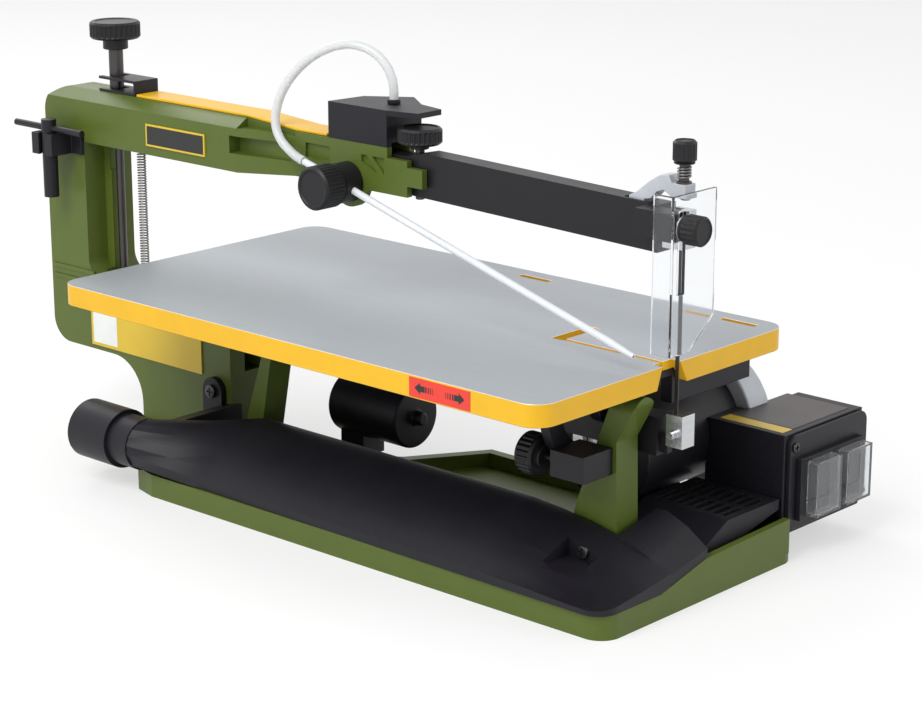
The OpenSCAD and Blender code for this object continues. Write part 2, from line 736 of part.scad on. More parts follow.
// arms
module upper_arm() color([0.1, 0.1, 0.11]) difference() {
    union() {
        bar_x([-arm_half, arm_half], concat(spots(arm_y, zt(arm_low_z), arm_low_shares),
            [[arm_y[1], table_h + arm_top_z[1]], [neck_y[0] - hump_lead[2], table_h + arm_top_z[1]],
            [neck_y[0] - hump_lead[1], table_h + hump_z[1]], [neck_y[0] - hump_lead[0], table_h + hump_z[0]],
            [arm_y[0], table_h + arm_top_z[0]]]));
        block([-nose_half, nose_half], nose_y, zt(nose_z));
        block(guard_lug_x, guard_lug_y, zt(guard_lug_z));
    }
    rod_along_x([-arm_half - over, arm_half + over], pivot_y, table_h + upper_pivot_z, pivot_r + play);
    rod_along_x([-arm_half, arm_half], clamp_pin[0], table_h + clamp_pin[1], clamp_pin_r + play);
    rod_along_z(zt(pad(air_bolt_z, over)), 0, air_y, air_bolt_r + play);
    tail_fork([lower_limb_z[1], limb_roof]);
    block([-lever_slot_half, lever_slot_half], lever_slot_y, zt(lever_slot_z));
    lever_pin_shape();
    rod_along_y([guard_lug_y[0] - over, guard_screw_y[1] + over], guard_knob_at[0],
        table_h + guard_knob_at[1], guard_screw_r + play);
}
module tail_fork(z) {
    rod_along_z(zt(z), 0, rod_y, rod_hole);
    block([-rod_hole, rod_hole], [rod_y, arm_y[1] + over], zt(z));
}
module lever_pin_shape() rod_along_x([pin_inset - arm_half, arm_half - pin_inset], lever_pin_at[0],
    table_h + lever_pin_at[1], lever_pin_r);
module lever_pin() color([0.7, 0.7, 0.7]) lever_pin_shape();
module lower_arm() color([0.1, 0.1, 0.11]) difference() {
    union() {
        block([-arm_half, arm_half], [lower_arm_front, arm_y[1]], zt(lower_arm_z));
        block([-nose_half, nose_half], lower_nose_y, zt(lower_nose_z));
    }
    rod_along_x([-arm_half - over, arm_half + over], pivot_y, table_h + lower_pivot_z, pivot_r + play);
    tail_fork(pad(lower_arm_z, over));
    wrist_shape();
}
module wrist_shape() rod_along_x(wrist_x, motor_y + throw, table_h + lower_pivot_z, wrist_r);
module wrist_pin() color([0.7, 0.7, 0.7]) wrist_shape();

// blade, clamps, lever and knob
module blade_shape() block([-blade_half_x, blade_half_x], [blade_y - blade_half_y, blade_y + blade_half_y],
    zt(blade_z));
module blade() color([0.55, 0.56, 0.58]) blade_shape();
module upper_clamp() color([0.65, 0.65, 0.66]) union() {
    difference() {
        block([-upper_clamp_half, upper_clamp_half], upper_clamp_y, zt(upper_clamp_z));
        block([-clamp_slot_half, clamp_slot_half], [nose_y[0] - seat, upper_clamp_y[1] + over],
            zt(pad(upper_clamp_z, over)));
        blade_shape();
    }
    rod_along_x([-upper_clamp_half, upper_clamp_half], clamp_pin[0], table_h + clamp_pin[1], clamp_pin_r);
}
module lower_clamp() color([0.65, 0.65, 0.66]) difference() {
    union() {
        block([-lower_clamp_half, lower_clamp_half], lower_clamp_y, zt(lower_clamp_z));
        rod_along_x([-lower_clamp_half - clamp_screw_l, -lower_clamp_half], mid(lower_clamp_y),
            table_h - clamp_screw_drop, clamp_screw_r);
    }
    blade_shape();
}
module blade_lever() color([0.7, 0.71, 0.72]) difference() {
    bar_x([-lever_half, lever_half], spots(lever_y, zt(lever_z), lever_shares));
    rod_along_x([-lever_half - over, lever_half + over], lever_pin_at[0], table_h + lever_pin_at[1],
        lever_pin_r + play);
    rod_along_z(zt([stem_z[0] - over, lever_z[1]]), 0, lever_front, stem_r + play);
}
function washer_z() = let (z = mix(lever_z, lever_shares[7][1])) [z, z + washer_t];
module lever_washer() color([0.75, 0.75, 0.75]) difference() {
    rod_along_z(zt(washer_z()), 0, lever_front, washer_r);
    rod_along_z(zt(pad(washer_z(), over)), 0, lever_front, stem_r + seat);
}
module lever_spring() color([0.7, 0.7, 0.7]) coil([0, lever_front], small_spring_r, small_spring_wire,
    zt(small_spring_z), zt(small_end_z), small_coils);
module blade_knob() color([0.12, 0.12, 0.13]) union() {
    translate([0, lever_front, table_h + blade_knob_z[0]])
        knob_body(blade_knob_r, blade_knob_z[1] - blade_knob_z[0]);
    rod_along_z(zt(stem_z), 0, lever_front, stem_r);
}

// guard
module guard() color([0.8, 0.85, 0.88, 0.4]) difference() {
    union() {
        bar_y(panel_y, spots(panel_x, zt(panel_z), panel_shares));
        block([panel_x[0], panel_x[0] + wing_t], wing_y, zt(panel_z));
    }
    block([guard_knob_at[0] - guard_slot_r, guard_knob_at[0] + guard_slot_r], pad(panel_y, over),
        zt(guard_slot_z));
}
module guard_washer() color([0.7, 0.7, 0.7]) difference() {
    rod_along_y(guard_washer_y, guard_knob_at[0], table_h + guard_knob_at[1], guard_washer_r);
    rod_along_y(pad(guard_washer_y, over), guard_knob_at[0], table_h + guard_knob_at[1], guard_screw_r);
}
module guard_knob() color([0.12, 0.12, 0.13]) union() {
    translate([guard_knob_at[0], guard_knob_y[1], table_h + guard_knob_at[1]]) rotate([90, 0, 0])
        knob_body(guard_knob_r, guard_knob_y[1] - guard_knob_y[0]);
    rod_along_y([guard_screw_y[0] - over, guard_screw_y[1]], guard_knob_at[0],
        table_h + guard_knob_at[1], guard_screw_r);
}

// bellows box, hose and nozzle
function from_neck(r) = [for (v = r) neck_y[0] + v];
module bellows_box() color([0.12, 0.12, 0.13]) difference() {
    union() {
        slab(zt(bellows_z), spots(bellows_x, from_neck(bellows_lag), bellows_shares));
        slab(zt(lip_z), spots(bellows_x, from_neck(lip_lag), lip_shares));
    }
    block([-channel_half, channel_half], from_neck(bellows_run_lag), zt(bellows_run_z));
}
module hose_barb() color([0.12, 0.12, 0.13]) rod_along_z(zt(barb_z), barb_at[0], barb_at[1], barb_r);
module air_hose() color([0.85, 0.87, 0.88]) {
    start = [barb_at[0], barb_at[1], barb_z[1] + table_h];
    finish = nozzle_end + [0, 0, table_h];
    p = concat([for (q = hose_pts) start + q], [finish + 2 * hose_r * nozzle_dir, finish]);
    tube(p, hose_r, hose_sides, [for (q = p) [1, 0, 0]]);
}
module nozzle_line(from, to, r) translate(hub_at + [0, 0, table_h])
    rotate([0, acos(nozzle_dir[2]), atan2(nozzle_dir[1], nozzle_dir[0])])
    translate([0, 0, from]) cylinder(r = r, h = to - from);
module nozzle_pipe() color([0.8, 0.81, 0.82])
    nozzle_line(-norm(hub_at - nozzle_tip), nozzle_tail, nozzle_r);
module nozzle_hub() color([0.12, 0.12, 0.13]) difference() {
    union() {
        rod_along_x(hub_ends_x, hub_at[1], table_h + hub_z, hub_r);
        rod_along_x([hub_ends_x[1] - over, hub_ends_x[1] + hub_stud_l], hub_at[1], table_h + hub_z,
            hub_stud_r);
    }
    nozzle_line(-nozzle_tail, nozzle_tail, nozzle_r);
    rod_along_x([hub_ends_x[0] - over, hub_ends_x[0] + nozzle_screw_l], hub_at[1], table_h + hub_z,
        nozzle_screw_r + play);
}
module nozzle_knob() color([0.12, 0.12, 0.13]) union() {
    translate([hub_ends_x[0] - nozzle_knob_gap, hub_at[1], table_h + hub_z]) rotate([0, -90, 0])
        knob_body(nozzle_knob_r, nozzle_knob_l);
    rod_along_x([hub_ends_x[0] - nozzle_knob_gap - over, hub_ends_x[0] + nozzle_screw_l - seat], hub_at[1],
        table_h + hub_z, nozzle_screw_r);
}
module air_knob() color([0.12, 0.12, 0.13]) union() {
    translate([0, air_y, table_h + air_knob_z[0]]) knob_body(air_knob_r, air_knob_z[1] - air_knob_z[0]);
    rod_along_z(zt(air_collar_z), 0, air_y, air_collar_r);
    rod_along_z(zt(air_bolt_z), 0, air_y, air_bolt_r);
}

// table and trunnions
function under_plate() = [table_h - table_plate - flange_t, table_h - table_plate];
module table() color([0.68, 0.7, 0.72]) difference() {
    rounded_plate(half_w, [0, table_l], [table_h - table_rim, table_h], table_corner);
    difference() {
        block([table_wall - half_w, half_w - table_wall], [table_wall, table_l - table_wall],
            [table_h - table_rim - over, table_h - table_plate]);
        for (x = [half_w - rib_in, rib_in - half_w]) block([x - rib_w / 2, x + rib_w / 2],
            [front_flange_y[1] + seat, rear_flange_y[0] - seat], [table_h - rib_drop, table_h]);
    }
    bar_y([-over, table_wall], [[notch_low[0], table_h - table_rim - over],
        [notch_low[1], table_h - table_rim - over], [notch_top[1], table_h + over],
        [notch_top[0], table_h + over]]);
    block(blade_slot_x, blade_slot_y, [0, table_h + over]);
    block(cross_slot_x, cross_slot_y, [0, table_h + over]);
    for (s = edge_slot_shares) block([half_w - edge_slot_in[0], half_w - edge_slot_in[1]], table_l * s,
        [0, table_h + over]);
}
module rounded_plate(half, y, z, r) union() {
    block([r - half, half - r], y, z);
    block([-half, half], [y[0] + r, y[1] - r], z);
    for (x = [r - half, half - r], v = [y[0] + r, y[1] - r]) rod_along_z(z, x, v, r);
}
module ear(y) difference() {
    union() {
        block([pivot_x - ear_half, pivot_x + ear_half], y, [tilt_h, under_plate()[1]]);
        rod_along_y(y, pivot_x, tilt_h, ear_half);
    }
    rod_along_y(pad(y, over), pivot_x, tilt_h, bolt_r + play);
}
module front_trunnion() color([0.12, 0.12, 0.13]) union() {
    block(front_flange_x, front_flange_y, under_plate());
    ear(front_ear_y);
    block([front_bar_from, front_flange_x[1]], [front_flange_y[0], front_flange_y[0] + front_bar_t],
        [table_h - front_bar_drop, mid(under_plate())]);
    block(quad_hang_x, quad_y, [tilt_h - quad_hang_lap, mid(under_plate())]);
    intersection() {
        difference() {
            rod_along_y(quad_y, pivot_x, tilt_h, quad_out);
            rod_along_y(pad(quad_y, over), pivot_x, tilt_h, quad_in);
        }
        translate([pivot_x, 0, tilt_h]) bar_y(quad_y, quad_out * quad_shares);
    }
}
module rear_trunnion() color([0.12, 0.12, 0.13]) union() {
    block(rear_flange_x, rear_flange_y, under_plate());
    ear(rear_ear_y);
}
module pivot_bolt(ear_y, deep) union() {
    rod_along_y([ear_y[0] - deep, ear_y[1] + over], pivot_x, tilt_h, bolt_r);
    rod_along_y([ear_y[1] + seat, ear_y[1] + seat + bolt_head_t], pivot_x, tilt_h, bolt_head_r);
}
module table_pivot_bolts() color([0.6, 0.6, 0.6]) {
    pivot_bolt(front_ear_y, front_bolt_in);
    pivot_bolt(rear_ear_y, rear_bolt_in);
}
module lock_bracket() color([0.12, 0.12, 0.13]) difference() {
    z = tilt_h + lock_off[1];
    block(lock_bracket_x, lock_bracket_y, [z - lock_bracket_half, z + lock_bracket_half]);
    rod_along_y([lock_stud_y[0], lock_stud_y[1]], pivot_x + lock_off[0], z, lock_stud_r + play);
}
module tilt_lock_knob() color([0.12, 0.12, 0.13]) union() {
    translate([pivot_x + lock_off[0], lock_knob_y[0], tilt_h + lock_off[1]])
        rotate([-90, 0, 0]) knob_body(lock_knob_r, lock_knob_y[1] - lock_knob_y[0]);
    rod_along_y(lock_stud_y, pivot_x + lock_off[0], tilt_h + lock_off[1], lock_stud_r);
}

// dust housing: the duct is skinned over sections that pass from lip to ridge, body and round outlet
function blend(a, b, t) = [for (i = [0:len(a) - 1]) a[i] * (1 - t) + b[i] * t];
function duct_ring(shares, y, wall) = [for (s = shares) [mix(pad(duct_x, -wall), s[0]), y,
    s[1] > 0 ? base_h + duct_h * s[1] - wall : wall > 0 ? base_h - over : base_h]];
function outlet_ring_at(y, r) = [for (a = outlet_angles)
    [outlet_at[0] + r * cos(a), y, base_h + outlet_at[1] + r * sin(a)]];
function duct_back(k) = table_l - flare_lead[k];
nose_section_shares = blend(lip_section_shares, ridge_section_shares, nose_bulge_share);
rise_section_shares = blend(ridge_section_shares, body_section_shares, nose_rise_share);
function duct_rings(wall, r) = [
    duct_ring(nose_section_shares, mid([base_y[0], ridge_y]), wall),
    duct_ring(ridge_section_shares, ridge_y, wall),
    duct_ring(rise_section_shares, shoulder_y, wall),
    duct_ring(body_section_shares, body_y, wall),
    duct_ring(body_section_shares, duct_back(0), wall),
    blend(duct_ring(body_section_shares, duct_back(1), wall), outlet_ring_at(duct_back(1), r), flare_share),
    outlet_ring_at(duct_back(2), r)];
module duct() skin(concat([duct_ring(lip_section_shares, base_y[0], 0)],
    duct_rings(0, outlet_body_r - seat)));
module duct_room() skin(concat(duct_rings(duct_wall, outlet_bore - seat),
    [outlet_ring_at(duct_back(2) + over, outlet_bore - seat)]));
// the nose falls away to the left, so its side profile is turned about its right edge
module nose() intersection() {
    block(nose_x, [base_y[0] + seat, nose_back], [base_h + seat, table_h]);
    translate([nose_x[1], 0, base_h]) rotate([0, -nose_slope, 0]) bar_x([-duct_side - duct_h, duct_h],
        [[base_y[0], -duct_h], [base_y[0], nose_h * nose_lip_share],
        [mid([base_y[0], ridge_y]), nose_h * mix([nose_lip_share, 1], nose_bulge_share)],
        [ridge_y, nose_h], [nose_back, nose_h], [nose_back, -duct_h]]);
}
module dust_housing() color([0.1, 0.1, 0.13]) difference() {
    union() {
        difference() {
            union() {
                duct();
                nose();
                bar_y(chute_y, spots(chute_x, rise(chute_up), chute_shares));
                bar_x([-limb_half - bridge_side, -limb_half],
                    spots(bridge_y, rise(bridge_up), bridge_shares));
            }
            duct_room();
            bar_y(pad(chute_y, -grille_gap), spots(chute_x, rise(chute_up), chute_room_shares));
            block([duct_x[1] - base_wall, chute_x[0] + base_wall], passage_y,
                [base_h - over, base_h + passage_h]);
        }
        intersection() {
            duct();
            block(pad(well_x, duct_wall), pad(well_y, duct_wall), rise([0, well_up[1]]));
        }
        difference() {
            union() {
                pipe([duct_back(2) - over, outlet_y1], outlet_body_r);
                pipe([outlet_y1 - outlet_ring, outlet_y1], outlet_r);
            }
            pipe([duct_back(2) - over, outlet_y1 + over], outlet_bore);
        }
        block([-limb_half - tab_t, -limb_half], tab_y, [base_h + tab_up[0], tab_screw_h()]);
        rod_along_x([-limb_half - tab_t, -limb_half], mid(tab_y), tab_screw_h(), (tab_y[1] - tab_y[0]) / 2);
    }
    front_wall();
    block(well_x, well_y, rise(well_up));
    well_screw(well_screw_r, 0);
    tab_screw(tab_screw_r, 0);
    difference() {
        block([duct_x[0] - over, duct_x[0] + base_corner_r], [base_y[0] - over, base_y[0] + base_corner_r],
            [0, table_h]);
        rod_along_z([0, table_h], duct_x[0] + base_corner_r, base_y[0] + base_corner_r, base_corner_r);
    }
}
module pipe(y, r) rod_along_y(y, outlet_at[0], base_h + outlet_at[1], r);
function tab_screw_h() = base_h + tab_up[1] - (tab_y[1] - tab_y[0]) / 2;
module tab_screw(r, head) union() {
    rod_along_x([-limb_half - tab_t, tab_screw_l - limb_half], mid(tab_y), tab_screw_h(), r);
    if (head > 0) rod_along_x([-limb_half - tab_t - head_t, -limb_half - tab_t], mid(tab_y),
        tab_screw_h(), head);
}
module well_screw(r, head) union() {
    rod_along_x([well_x[1], well_x[1] + duct_wall], mid(well_y), base_h + well_screw_up, r);
    if (head > 0) rod_along_x([well_x[1] - head_t, well_x[1]], mid(well_y), base_h + well_screw_up, head);
}
module housing_screws() color([0.6, 0.6, 0.6]) {
    tab_screw(tab_screw_r, head_r);
    well_screw(well_screw_r, well_head_r);
}
function grille_x() = [mix(chute_x, chute_room_shares[1][0]), mix(chute_x, chute_room_shares[3][0])];
module dust_grille() color([0.1, 0.1, 0.11]) union() {
    x = grille_x();
    y = pad(chute_y, -grille_gap);
    z = rise(grille_up);
    difference() {
        block(x, y, z);
        block(pad(x, -grille_bar_w), pad(y, -grille_bar_w), pad(z, over));
    }
    for (i = [1:grille_bars - 1]) let (v = mix(y, i / grille_bars))
        block(x, [v - grille_bar_w / 2, v + grille_bar_w / 2], z);
    block([mid(x) - grille_spine_w / 2, mid(x) + grille_spine_w / 2], y, z);
}

// switch box
module motor_room(grow) {
    rod_along_x([motor_x[0], box_x[1]], motor_y, motor_h, motor_r + grow);
    rod_along_x([bell_x[0] - grow, bell_x[1] + box_x[1]], motor_y, motor_h, bell_r + grow);
}
module rocker_room() for (x = rocker_x)
    rod_along_x(pad(x, rocker_gap), rocker_y, base_h + rocker_up, rocker_r + rocker_gap);
module switch_box() color([0.1, 0.1, 0.12]) difference() {
    block(box_x, box_y, rise(box_up));
    motor_room(motor_gap);
    rocker_room();
}
module switch_plate() color([0.13, 0.13, 0.14]) difference() {
    plate_shape(plate_x, rise(plate_up), [box_y[0] - plate_t, box_y[0]], plate_corner);
    rocker_room();
}
module plate_shape(x, z, y, r) union() {
    block([x[0] + r, x[1] - r], y, z);
    block(x, y, [z[0] + r, z[1] - r]);
    for (u = [x[0] + r, x[1] - r], v = [z[0] + r, z[1] - r]) rod_along_y(y, u, v, r);
}
function plate_face() = box_y[0] - plate_t;
module plate_screws() color([0.6, 0.6, 0.6])
    for (p = [[box_x[0] + plate_screw_in[0], plate_screw_up[0]],
        [box_x[1] - plate_screw_in[1], plate_screw_up[1]]])
        rod_along_y([plate_face() - plate_screw_t, plate_face()], p[0], base_h + p[1], plate_screw_r);
module switch_bezel() color([0.1, 0.1, 0.11]) difference() {
    block(bezel_x, [plate_face() - bezel_t, plate_face()], rise(bezel_up));
    rocker_room();
}
module rocker(x) difference() {
    rod_along_x(x, rocker_y, base_h + rocker_up, rocker_r);
    block(pad(x, over), [rocker_y - rocker_r - over, rocker_y - rocker_flat],
        pad([base_h + rocker_up, base_h + rocker_up], rocker_r + over));
}
module power_rocker() color([0.08, 0.08, 0.09]) rocker(rocker_x[0]);
module speed_rocker() color([0.08, 0.08, 0.09]) rocker(rocker_x[1]);
module switch_covers() color([0.8, 0.82, 0.84, 0.5]) for (x = rocker_x) difference() {
    y = [plate_face() - bezel_t - cover_deep, plate_face() - bezel_t];
    block(pad(x, cover_grow), y, rise(cover_up));
    block(pad(x, cover_grow - cover_wall), [y[0] + cover_wall, y[1] + over],
        rise(pad(cover_up, -cover_wall)));
}

// motor, crank and capacitor
module motor_housing() color([0.1, 0.1, 0.11]) difference() {
    rod_along_x(motor_x, motor_y, motor_h, motor_r);
    rod_along_x([motor_x[0] - over, shaft_x[1] + over], motor_y, motor_h, shaft_r + play);
}
module motor_end_bell() color([0.55, 0.56, 0.57]) translate([bell_x[0], motor_y, motor_h])
    rotate([0, 90, 0]) rotate_extrude() polygon([[0, 0], [bell_r, 0], [bell_r, bell_t - bell_edge],
        [bell_r - bell_edge, bell_t], [0, bell_t]]);
module motor_bracket() color([0.12, 0.12, 0.13]) difference() {
    block(saddle_x, [motor_y - saddle_half, motor_y + saddle_half], [base_floor, motor_h - motor_r / 2]);
    rod_along_x(pad(saddle_x, over), motor_y, motor_h, motor_r);
}
module crank() color([0.6, 0.6, 0.6]) union() {
    rod_along_x(crank_x, motor_y, motor_h, crank_r);
    rod_along_x(shaft_x, motor_y, motor_h, shaft_r);
    rod_along_x(crank_pin_x, motor_y + throw, motor_h, crank_pin_r);
}
module connecting_rod() color([0.5, 0.5, 0.5]) difference() {
    y = motor_y + throw;
    union() {
        for (z = [0, rod_len]) rod_along_x(rod_x, y, motor_h + z, rod_eye_r);
        block(rod_x, [y - rod_half, y + rod_half], [motor_h, motor_h + rod_len]);
    }
    rod_along_x(pad(rod_x, over), y, motor_h, crank_pin_r + play);
    rod_along_x(pad(rod_x, over), y, motor_h + rod_len, wrist_r + play);
}
module capacitor() color([0.1, 0.1, 0.11]) union() {
    rod_along_y(cap_y, cap_x, cap_h, cap_r);
    rod_along_y([cap_y[0] - cap_stud_l, cap_y[0] + over], cap_x, cap_h, cap_stud_r);
}
module capacitor_bracket() color([0.5, 0.5, 0.5]) difference() {
    y = [cap_y[0] + cap_saddle_in[0], cap_y[1] - cap_saddle_in[1]];
    block(cap_saddle_x, y, [base_h, cap_h - cap_r / 2]);
    rod_along_y(pad(y, over), cap_x, cap_h, cap_r);
}

// tool clip and key
module tool_clip() color([0.1, 0.1, 0.11]) difference() {
    union() {
        block([key_x - clip_out, -limb_half], [key_y - clip_block_half, key_y + clip_block_half],
            zt(clip_block_z));
        block([-limb_half - clip_wing_t, -limb_half], [key_y - clip_wing_half, key_y + clip_wing_half],
            zt(clip_block_z));
    }
    rod_along_z(zt(pad(clip_block_z, over)), key_x, key_y, key_r + key_gap);
    block([key_x - clip_out - over, key_x], [key_y - clip_mouth_half, key_y + clip_mouth_half],
        zt(pad(clip_block_z, over)));
}
module tool_key() color([0.25, 0.25, 0.26]) union() {
    rod_along_z(zt(key_z), key_x, key_y, key_r);
    rod_along_y([key_y - key_bar_half, key_y + key_bar_half], key_x, table_h + key_bar_z, key_bar_r);
}

base();
c_frame();
frame_top_cover();
arm_badge();
frame_label();
upper_pivot_pin();
lower_pivot_pin();
tension_clip();
tension_rod();
tension_knob();
return_spring();
upper_arm();
lever_pin();
lower_arm();
wrist_pin();
blade();
upper_clamp();
lower_clamp();
blade_lever();
lever_washer();
lever_spring();
blade_knob();
guard();
guard_washer();
guard_knob();
bellows_box();
hose_barb();
air_hose();
nozzle_pipe();
nozzle_hub();
nozzle_knob();
air_knob();
table();
front_trunnion();
rear_trunnion();
table_pivot_bolts();
lock_bracket();
tilt_lock_knob();
dust_housing();
dust_grille();
housing_screws();
switch_box();
switch_plate();
plate_screws();
switch_bezel();
power_rocker();
speed_rocker();
switch_covers();
motor_housing();
motor_end_bell();
motor_bracket();
crank();
connecting_rod();
capacitor();
capacitor_bracket();
tool_clip();
tool_key();
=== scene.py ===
# %% [markdown]
# # A bench-top fret saw
# A motor under the table rocks two long arms, and a fine blade is strung between their front ends.
# The frame gives every piece at its true size and place. Each step below dresses some of them: castings
# get rounded edges and paint, and wound, fluted or printed pieces are modelled afresh.

# %% Load the frame
import json
import math
import bmesh
import bpy
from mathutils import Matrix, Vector
from mathutils.geometry import interpolate_bezier

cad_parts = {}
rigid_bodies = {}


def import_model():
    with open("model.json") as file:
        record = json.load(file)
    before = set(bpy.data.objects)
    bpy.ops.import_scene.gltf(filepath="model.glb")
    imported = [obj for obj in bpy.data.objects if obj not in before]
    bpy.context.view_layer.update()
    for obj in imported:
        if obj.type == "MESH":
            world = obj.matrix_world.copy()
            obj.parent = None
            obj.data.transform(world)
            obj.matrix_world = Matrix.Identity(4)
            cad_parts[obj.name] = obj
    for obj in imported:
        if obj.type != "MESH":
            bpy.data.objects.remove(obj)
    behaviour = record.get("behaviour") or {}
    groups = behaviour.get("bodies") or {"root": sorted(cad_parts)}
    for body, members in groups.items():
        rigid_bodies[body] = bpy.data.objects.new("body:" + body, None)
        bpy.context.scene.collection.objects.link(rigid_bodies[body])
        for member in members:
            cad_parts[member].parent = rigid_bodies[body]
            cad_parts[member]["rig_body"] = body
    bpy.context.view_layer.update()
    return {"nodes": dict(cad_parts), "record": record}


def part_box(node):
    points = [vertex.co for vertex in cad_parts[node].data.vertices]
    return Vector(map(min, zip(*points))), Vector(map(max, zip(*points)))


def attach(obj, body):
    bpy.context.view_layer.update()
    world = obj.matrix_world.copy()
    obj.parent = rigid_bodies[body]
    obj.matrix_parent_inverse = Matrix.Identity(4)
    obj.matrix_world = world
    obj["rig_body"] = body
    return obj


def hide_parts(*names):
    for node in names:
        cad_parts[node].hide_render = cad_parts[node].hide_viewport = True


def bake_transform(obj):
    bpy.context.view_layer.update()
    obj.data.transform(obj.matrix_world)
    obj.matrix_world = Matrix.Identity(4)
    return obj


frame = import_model()
MM = 0.001
SLOT = {row["node"]: row["material_slot"] for row in frame["record"]["subparts"]}

# %% [markdown]
# ## Camera
# The saw was photographed with a long lens from the left front corner, a little above the table. A long
# lens keeps the table's sides nearly parallel. The camera is aimed by two angles instead of a target
# object, so nothing else has to be kept in the file.

# %% Camera
YAW, PITCH = math.radians(42.5376), math.radians(15.8108)
EYE = (-0.92838, -0.71093, 0.45179)
LENS, SENSOR = 95.616, 36
bpy.ops.object.camera_add(location=EYE)
camera = bpy.context.object
camera.data.lens = LENS
camera.data.sensor_width = SENSOR
camera.data.clip_end = 50
ahead = Vector((math.cos(YAW) * math.cos(PITCH), math.sin(YAW) * math.cos(PITCH), -math.sin(PITCH)))
camera.rotation_euler = ahead.to_track_quat("-Z", "Y").to_euler()
bpy.context.scene.camera = camera
print("camera looks along", [round(v, 3) for v in ahead])

# %% [markdown]
# ## Finishes
# Paint, moulded plastic and metal differ in gloss and in the size of their grain. One recipe serves them
# all: a noise at a coarse scale tints the colour and the gloss a little, and a noise at a fine scale
# raises a slight bump. Object coordinates hold the grain still on the piece when it moves. An image
# would show a more exact grain, but a formula stays sharp at every distance.

# %% Finishes
def tone(red, green, blue):
    """A colour given as on a screen, 0 to 255, in the renderer's linear values."""
    return tuple(((v / 255 + 0.055) / 1.055) ** 2.4 for v in (red, green, blue)) + (1.0,)


PATCH_RANGE = (0.3, 0.7)
GRAIN_DEPTH = 0.4


def finish(name, colour, rough, metal=0.0, grain=0.0, grain_scale=900.0, mottle=0.04, patch_scale=45.0,
           stretch=(1, 1, 1), rough_spread=0.06, shine=0.5):
    """A surface whose colour and gloss drift in soft patches, over a fine grain."""
    made = bpy.data.materials.new(name)
    made.use_nodes = True
    nodes, links = made.node_tree.nodes, made.node_tree.links
    skin = nodes["Principled BSDF"]
    skin.inputs["Metallic"].default_value = metal
    skin.inputs["Specular IOR Level"].default_value = shine
    where = nodes.new("ShaderNodeTexCoord")
    spread = nodes.new("ShaderNodeMapping")
    spread.inputs["Scale"].default_value = stretch
    links.new(where.outputs["Object"], spread.inputs["Vector"])
    patches = nodes.new("ShaderNodeTexNoise")
    patches.inputs["Scale"].default_value = patch_scale
    patches.inputs["Detail"].default_value = 5
    links.new(spread.outputs["Vector"], patches.inputs["Vector"])
    tint = nodes.new("ShaderNodeValToRGB")
    for stop, place, change in zip(tint.color_ramp.elements, PATCH_RANGE, (-mottle, mottle)):
        stop.position = place
        stop.color = tuple(min(1, v * (1 + change)) for v in colour[:3]) + (1,)
    links.new(patches.outputs["Fac"], tint.inputs["Fac"])
    links.new(tint.outputs["Color"], skin.inputs["Base Color"])
    gloss = nodes.new("ShaderNodeMapRange")
    gloss.inputs["To Min"].default_value = max(0.02, rough - rough_spread)
    gloss.inputs["To Max"].default_value = rough + rough_spread
    links.new(patches.outputs["Fac"], gloss.inputs["Value"])
    links.new(gloss.outputs["Result"], skin.inputs["Roughness"])
    if grain:
        pores = nodes.new("ShaderNodeTexNoise")
        pores.inputs["Scale"].default_value = grain_scale
        pores.inputs["Detail"].default_value = 3
        links.new(spread.outputs["Vector"], pores.inputs["Vector"])
        bump = nodes.new("ShaderNodeBump")
        bump.inputs["Strength"].default_value = grain
        bump.inputs["Distance"].default_value = GRAIN_DEPTH * MM
        links.new(pores.outputs["Fac"], bump.inputs["Height"])
        links.new(bump.outputs["Normal"], skin.inputs["Normal"])
    return made


def see_through(material, weight, index):
    """Lets light through a clear or milky plastic."""
    skin = material.node_tree.nodes["Principled BSDF"]
    skin.inputs["Transmission Weight"].default_value = weight
    skin.inputs["IOR"].default_value = index


GREEN = finish("olive_powder_paint", tone(82, 97, 34), 0.4, grain=0.22, grain_scale=1100, shine=0.32)
YELLOW = finish("yellow_paint", tone(224, 173, 20), 0.36, grain=0.12, shine=0.35)
TOP = finish("milled_table_top", tone(160, 165, 170), 0.44, metal=0.35, grain=0.1, mottle=0.05,
             stretch=(14, 0.5, 1))
# Bare metal where the mill cut through the paint, painted lighter than the milled top as a painted
# highlight.
BARE_EDGE_HIGHLIGHT = finish("bare_edge_painted_highlight", tone(226, 228, 230), 0.3, metal=0.5, grain=0.05)
BLACK = finish("black_moulding", tone(23, 21, 28), 0.46, grain=0.3, grain_scale=1400, mottle=0.08, shine=0.3)
KNOB = finish("knob_plastic", tone(24, 23, 26), 0.42, grain=0.15, mottle=0.06, shine=0.32)
SATIN = finish("black_paint", tone(25, 23, 28), 0.42, grain=0.15, mottle=0.06, shine=0.3)
STEEL = finish("bright_steel", tone(196, 198, 200), 0.26, metal=1.0, grain=0.06, stretch=(1, 1, 12))
SPRING_STEEL = finish("spring_steel", tone(128, 126, 124), 0.34, metal=0.9, grain=0.05)
UNDERSIDE = finish("bare_underside", tone(70, 70, 72), 0.6, metal=0.2, grain=0.25)
DARK_STEEL = finish("blackened_steel", tone(78, 76, 76), 0.32, metal=0.9, grain=0.06)
CAST = finish("pale_casting", tone(186, 190, 196), 0.46, metal=0.25, grain=0.3, mottle=0.06)
HOSE = finish("milky_hose", tone(228, 230, 231), 0.3, grain=0.03)
see_through(HOSE, 0.3, 1.45)
PIPE = finish("white_pipe", tone(222, 225, 229), 0.25, grain=0.04)
CLEAR = finish("clear_acrylic", (0.93, 0.95, 0.97, 1), 0.06, mottle=0.01, rough_spread=0.03)
see_through(CLEAR, 1.0, 1.46)
MILKY = finish("cover_film", (0.9, 0.92, 0.93, 1), 0.09, mottle=0.03, grain=0.03)
see_through(MILKY, 0.95, 1.3)
FOIL = finish("yellow_foil", tone(212, 180, 44), 0.36, metal=0.1, grain=0.05)
